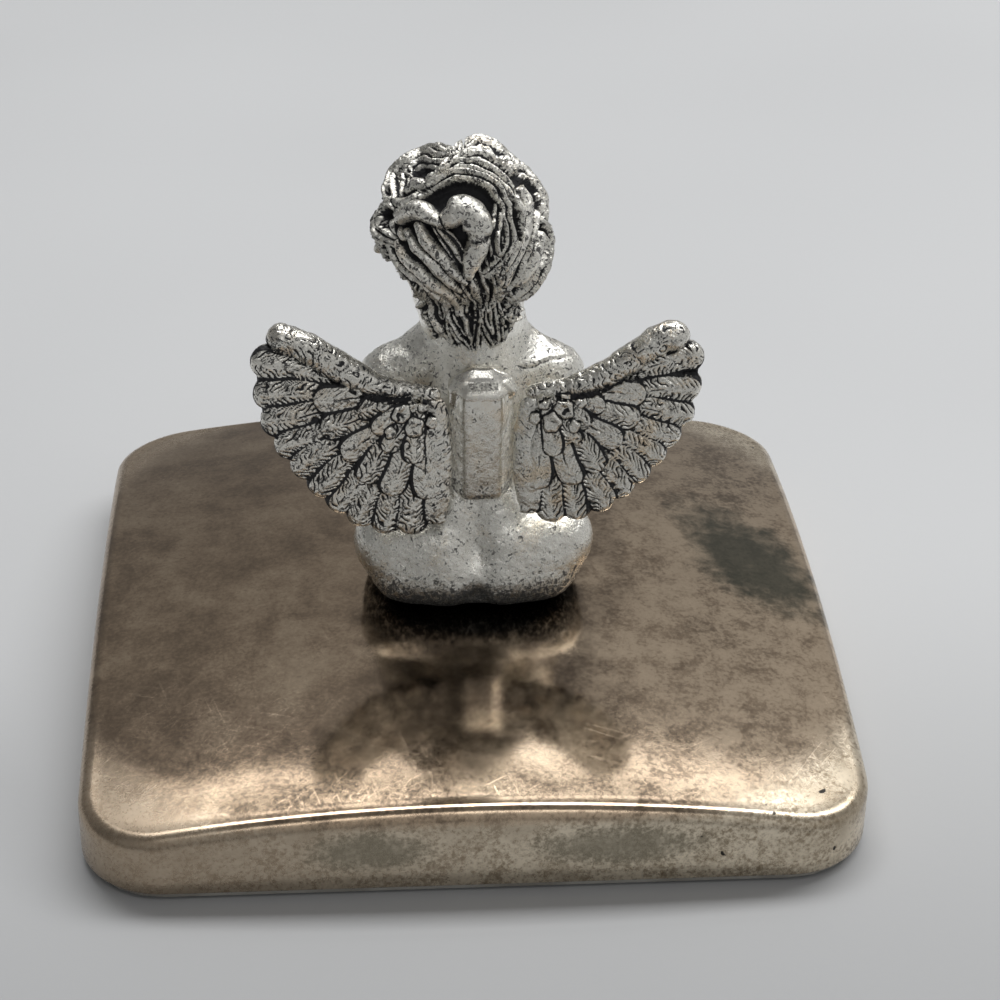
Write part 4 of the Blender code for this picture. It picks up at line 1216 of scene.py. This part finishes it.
def hairRelief(places, normals):  # height of the locks, of the lock under each, and how dark it is between
    sway = np.stack([grained(places, (1, 0.5, 64 + i), (0.35, 1.2, 67 + i)) for i in range(3)], 1)
    places = places + sway * 0.42
    height, second, between, dark = np.zeros((4, len(places)))
    steps = head["lockSteps"]
    locks = [(*row[:3], hairPath(row[3:])) for row in head["backLocks"]]
    locks += frontLocks() + napeLocks()
    grit = cloudiness(places, 0.9, 61)
    for width, tall, strands, path in locks:
        path = curveThrough(path, steps)
        near = closeTo(places, path, 4)
        if not len(near):
            continue
        gap = places[near][:, None, :] - path[None, :, :]
        nearest = (gap ** 2).sum(-1).argmin(1)
        gap = gap[np.arange(len(near)), nearest]
        way = tangents(path)[nearest]
        along = (gap * way).sum(1)
        side = (np.cross(way, normals[near]) * gap).sum(1)
        share = np.clip((nearest + along / 0.5) / (steps - 1), 0, 1)
        over = np.where((nearest == 0) | (nearest == steps - 1), np.maximum(np.abs(along) - 0.1, 0), 0)
        taper = 0.45 + 0.55 * np.sqrt(np.clip(np.sin(np.clip(share, 0.03, 0.97) * math.pi), 0, 1))
        wide = width * taper
        across = np.hypot(side, over) / wide
        inside = across < 1
        crown = halfRound(across)
        wave = (grit[near] - 0.5) * 1.4
        parted = strands + (1 if strands > 1 and width > 1.0 else 0)
        ridge = np.cos(math.pi * parted * (side / wide + 0.25 * wave)) if parted > 1 else crown
        own = tall * (0.30 + 0.70 * crown ** 0.8) * (0.72 + 0.28 * taper)
        own = np.where(inside, own + (0.36 if parted > 1 else 0.05) * (ridge - 1), 0)
        best = height[near]
        between[near] = np.where(own > best, step(-0.3, -0.95, ridge) * inside, between[near])
        second[near] = np.maximum(second[near], np.minimum(best, own))
        height[near] = np.maximum(best, own)
    height = height + grained(places, (1, 0.85, 81), (0.6, 2.0, 82)) * 0.26 * step(0.4, 1.2, height)
    for width, *path in head["gaps"]:
        path = curveThrough(hairPath(path), steps)
        thin = width * (0.35 + 0.65 * np.sqrt(np.sin(np.linspace(0.06, 0.94, steps) * math.pi)))
        near = closeTo(places, path, 3)
        far = np.sqrt(((places[near][:, None, :] - path[None, :, :]) ** 2).sum(-1))
        # the path runs on the skull, under the relief
        far = np.sqrt(np.maximum(far ** 2 - 0.55, 0)) / thin[None, :]
        dark[near] = np.maximum(dark[near], step(1.25, 0.75, far.min(1)))
    height = height * (1 - dark)
    return height, second * (1 - dark), np.maximum(dark, 0.45 * between)


def swell(places):
    total = np.zeros(len(places))
    for a, b, radius, tall in head["swellings"]:
        total += tall * spread(places, headPoint(fromBehind(a, b)), radius)
    return total


def faceLines():  # closed lids, nostrils, hollow of the ears, mouth: places, radius, depth, how dark
    lines = []
    steps = np.linspace(-1, 1, 9)
    for side in (1, -1):
        lids = [(side * (0.325 + 0.155 * t), 1.0, -0.045 - 0.035 * (1 - t * t)) for t in steps]
        folds = [(side * (0.325 + 0.150 * t), 1.0, 0.055 + 0.030 * (1 - t * t)) for t in steps]
        lines.append((lids, 0.16, 0.20, 0.9))
        lines.append((folds, 0.14, 0.10, 0.45))
        lines.append(([(side * 0.062, 1.06, -0.235), (side * 0.05, 1.05, -0.240)], 0.22, 0.25, 0.9))
        lines.append(([(side * 0.96, 0.13, -0.02), (side * 0.95, 0.12, -0.10)], 0.36, 0.40, 0.9))
    lines.append(([(0.145 * t, 1.0, -0.408 + 0.012 * abs(t)) for t in steps], 0.16, 0.22, 0.9))
    return lines


def makeHead():
    bm = bmesh.new()
    addForms(bm, head["skull"], headBall, ("cranium",))
    addHull(bm, [headBall((0.0, 0.02, -0.60, 0.335)), bodyBall((0.01, 0.05, 1.0, 0.208))])
    skull = melt(bm, *head["skullSkin"])
    # features are added once the skull is smooth
    bm = bmesh.new()
    bm.from_mesh(skull)
    addForms(bm, head["face"], headBall, ("bridge", "noseTip"))
    mesh = melt(bm, *head["faceSkin"])
    points = getPoints(mesh)
    normals = getNormals(mesh)
    ink = np.zeros(len(points))
    for path, radius, depth, strength in faceLines():
        line = curveThrough([headPoint(p) for p in path], 26)
        near = np.full(len(points), 99.0)
        for place in line:
            gap = points - place
            if abs(path[0][0]) < 0.9:  # lines on the face are cut straight in from the front
                gap = np.c_[gap[:, [0, 2]], np.where(points[:, 1] > 5, 0, 9)]
            near = np.minimum(near, (gap ** 2).sum(1))
        dent = np.exp(-near / radius ** 2)
        push(points, normals, -dent * depth)
        ink = np.maximum(ink, dent * strength)
    # hair, away from the face and the neck
    rel = (points - headPoint((0, 0, 0))) / head["half"]
    around = np.degrees(np.arctan2(np.abs(rel[:, 0]), rel[:, 1]))
    hairline = np.interp(rel[:, 2], *head["hairline"]) + 6 * (cloudiness(points, 0.5, 71) - 0.5)
    nape = 31.2 + 0.9 * (cloudiness(points, 0.45, 72) - 0.5) + 0.10 * np.abs(points[:, 0] + 1.0)
    onHair = step(-3, 3, around - hairline) * step(nape - 0.3, nape + 0.5, points[:, 2])
    height, second, dark = hairRelief(points, normals)
    seam = step(0.45, 0.05, height - second) * (second > 0.1)
    height = height - 0.30 * seam
    frizz = grained(points, (1, 2.0, 75))
    push(points, normals, onHair * (height * 0.98 - 0.50 + 0.06 * frizz + swell(points)))
    setPoints(mesh, points)
    deep = np.maximum(hollowness(mesh, 10) / 0.16, hollowness(mesh, 36) / 0.42)
    low = step(1.30, 0.40, height)
    recess = onHair * (0.31 + 0.34 * deep + 0.36 * low + 0.26 * seam + dark)
    recess = recess + (1 - onHair) * (0.12 + 0.22 * deep + 0.8 * ink)
    setShares(mesh, recess=recess, dirt=0.10 + 0.35 * onHair, coarse=0.30 + 0.75 * onHair)
    points = getPoints(mesh)
    points[:, 2] = np.maximum(points[:, 2], head["foot"])
    setPoints(mesh, onStand(points))
    return addPiece("cherubHead", mesh, castSilver, "lid", "antique_silver", "cherub_head")


makeHead()
print("head made")


# floor, light and camera
stage = {
    "floor": (0.605, 0.613, 0.621), "backdrop": (0.60, 0.61, 0.62), "size": 2.4,
    # what metal sees of the room, by the angle up from the far side and over to the near side, in degrees
    "room": (
        (0, 0.25), (30, 0.35), (50, 0.42), (60, 0.27), (80, 0.27), (86, 0.18), (112, 0.18), (121, 0.36),
        (125, 0.38), (158, 0.40), (168, 0.28), (180, 0.25),
    ),
    # place, aim and size in metres, then power
    "lamps": {
        "ceiling": ((0.32, 0.26, 0.80), (0.32, 0, 0.02), (1.25, 0.24), 6.9),
        "side": ((0.0, -0.437, 0.659), (0, -0.007, 0.045), (0.40, 0.06), 0.40),
        "strip": ((0.10, 0.492, 0.79), (0.10, 0, 0.02), (1.05, 0.038), 0.31),
    },
    # place in metres, angles in degrees, lens and sensor in mm
    "camera": {
        "place": (-0.01447, -0.25451, 0.18314), "down": 32.05, "turn": 4.30, "roll": 1.03,
        "lens": 90.6, "sensor": 36.0,
    },
}


def makeFloor():
    s = Shade("floor")
    spot = s.place()
    grain = s.noise(spot, 0.9, 3, 0.6)
    shade = s.noise(spot, 0.006, 2, 0.5)
    dull, paintedShadeNear = (tuple(c * share for c in stage["floor"]) for share in (0.95, 0.69))
    colour = s.blend(shade.rise(0.35, 0.65), stage["floor"], dull)
    # painted shade: the floor darker towards the near side
    colour = s.blend(s.axis(spot, 1).rise(30.0, -90.0), colour, paintedShadeNear)
    s.bump(grain, 0.05 * mm, 0.25)
    material = s.finish(Base_Color=colour, Roughness=grain * 0.15 + 0.55)
    size = stage["size"]
    corners = [(-size, -size, 0), (size, -size, 0), (size, size, 0), (-size, size, 0)]
    mesh = meshFrom(corners, [(0, 1, 2, 3)])
    mesh.materials.append(material)
    floor = bpy.data.objects.new("floor", mesh)
    floor.location.z = -0.1 * mm
    scene.collection.objects.link(floor)


def makeRoom():
    scene.world = bpy.data.worlds.new("room")
    s = Shade("room", scene.world)
    ways = [s.axis(s.node("TexCoord", out=0), i) for i in range(3)]
    over = s.node("Math", {"operation": "ARCTAN2"}, {0: ways[2], 1: ways[1]}) / math.pi
    seen = s.ramp(over, *((angle / 180, (level,) * 3) for angle, level in stage["room"]))
    seen = seen * s.node("Math", {"operation": "MULTIPLY_ADD"}, {0: ways[0], 1: 0.5, 2: 0.95})
    toCamera = s.node("LightPath", out=0)
    s.feed(s.shader.inputs["Color"], s.blend(toCamera, seen, stage["backdrop"]))


def placeLamps():
    for name, (place, aim, size, power) in stage["lamps"].items():
        lamp = bpy.data.lights.new(name, "AREA")
        lamp.shape = "RECTANGLE"
        lamp.size, lamp.size_y = size
        lamp.energy = power
        holder = bpy.data.objects.new(name, lamp)
        holder.location = place
        holder.rotation_mode = "QUATERNION"
        holder.rotation_quaternion = (Vector(aim) - Vector(place)).to_track_quat("-Z", "Y")
        scene.collection.objects.link(holder)


def placeCamera():
    view = stage["camera"]
    down, turn, roll = (math.radians(view[key]) for key in ("down", "turn", "roll"))
    ahead = Vector((math.sin(turn) * math.cos(down), math.cos(turn) * math.cos(down), -math.sin(down)))
    right = Vector((math.cos(turn), -math.sin(turn), 0))
    up = right.cross(ahead)
    across = right * math.cos(roll) + up * math.sin(roll)
    upright = up * math.cos(roll) - right * math.sin(roll)
    lens = bpy.data.cameras.new("camera")
    lens.lens, lens.sensor_width = view["lens"], view["sensor"]
    lens.clip_start, lens.clip_end = 0.01, 20
    camera = bpy.data.objects.new("camera", lens)
    matrix = Matrix((across, upright, -ahead)).transposed().to_4x4()
    matrix.translation = view["place"]
    camera.matrix_world = matrix
    scene.collection.objects.link(camera)
    scene.camera = camera


makeFloor()
makeRoom()
placeLamps()
placeCamera()
scene.view_settings.view_transform = "Standard"
print("stage set")
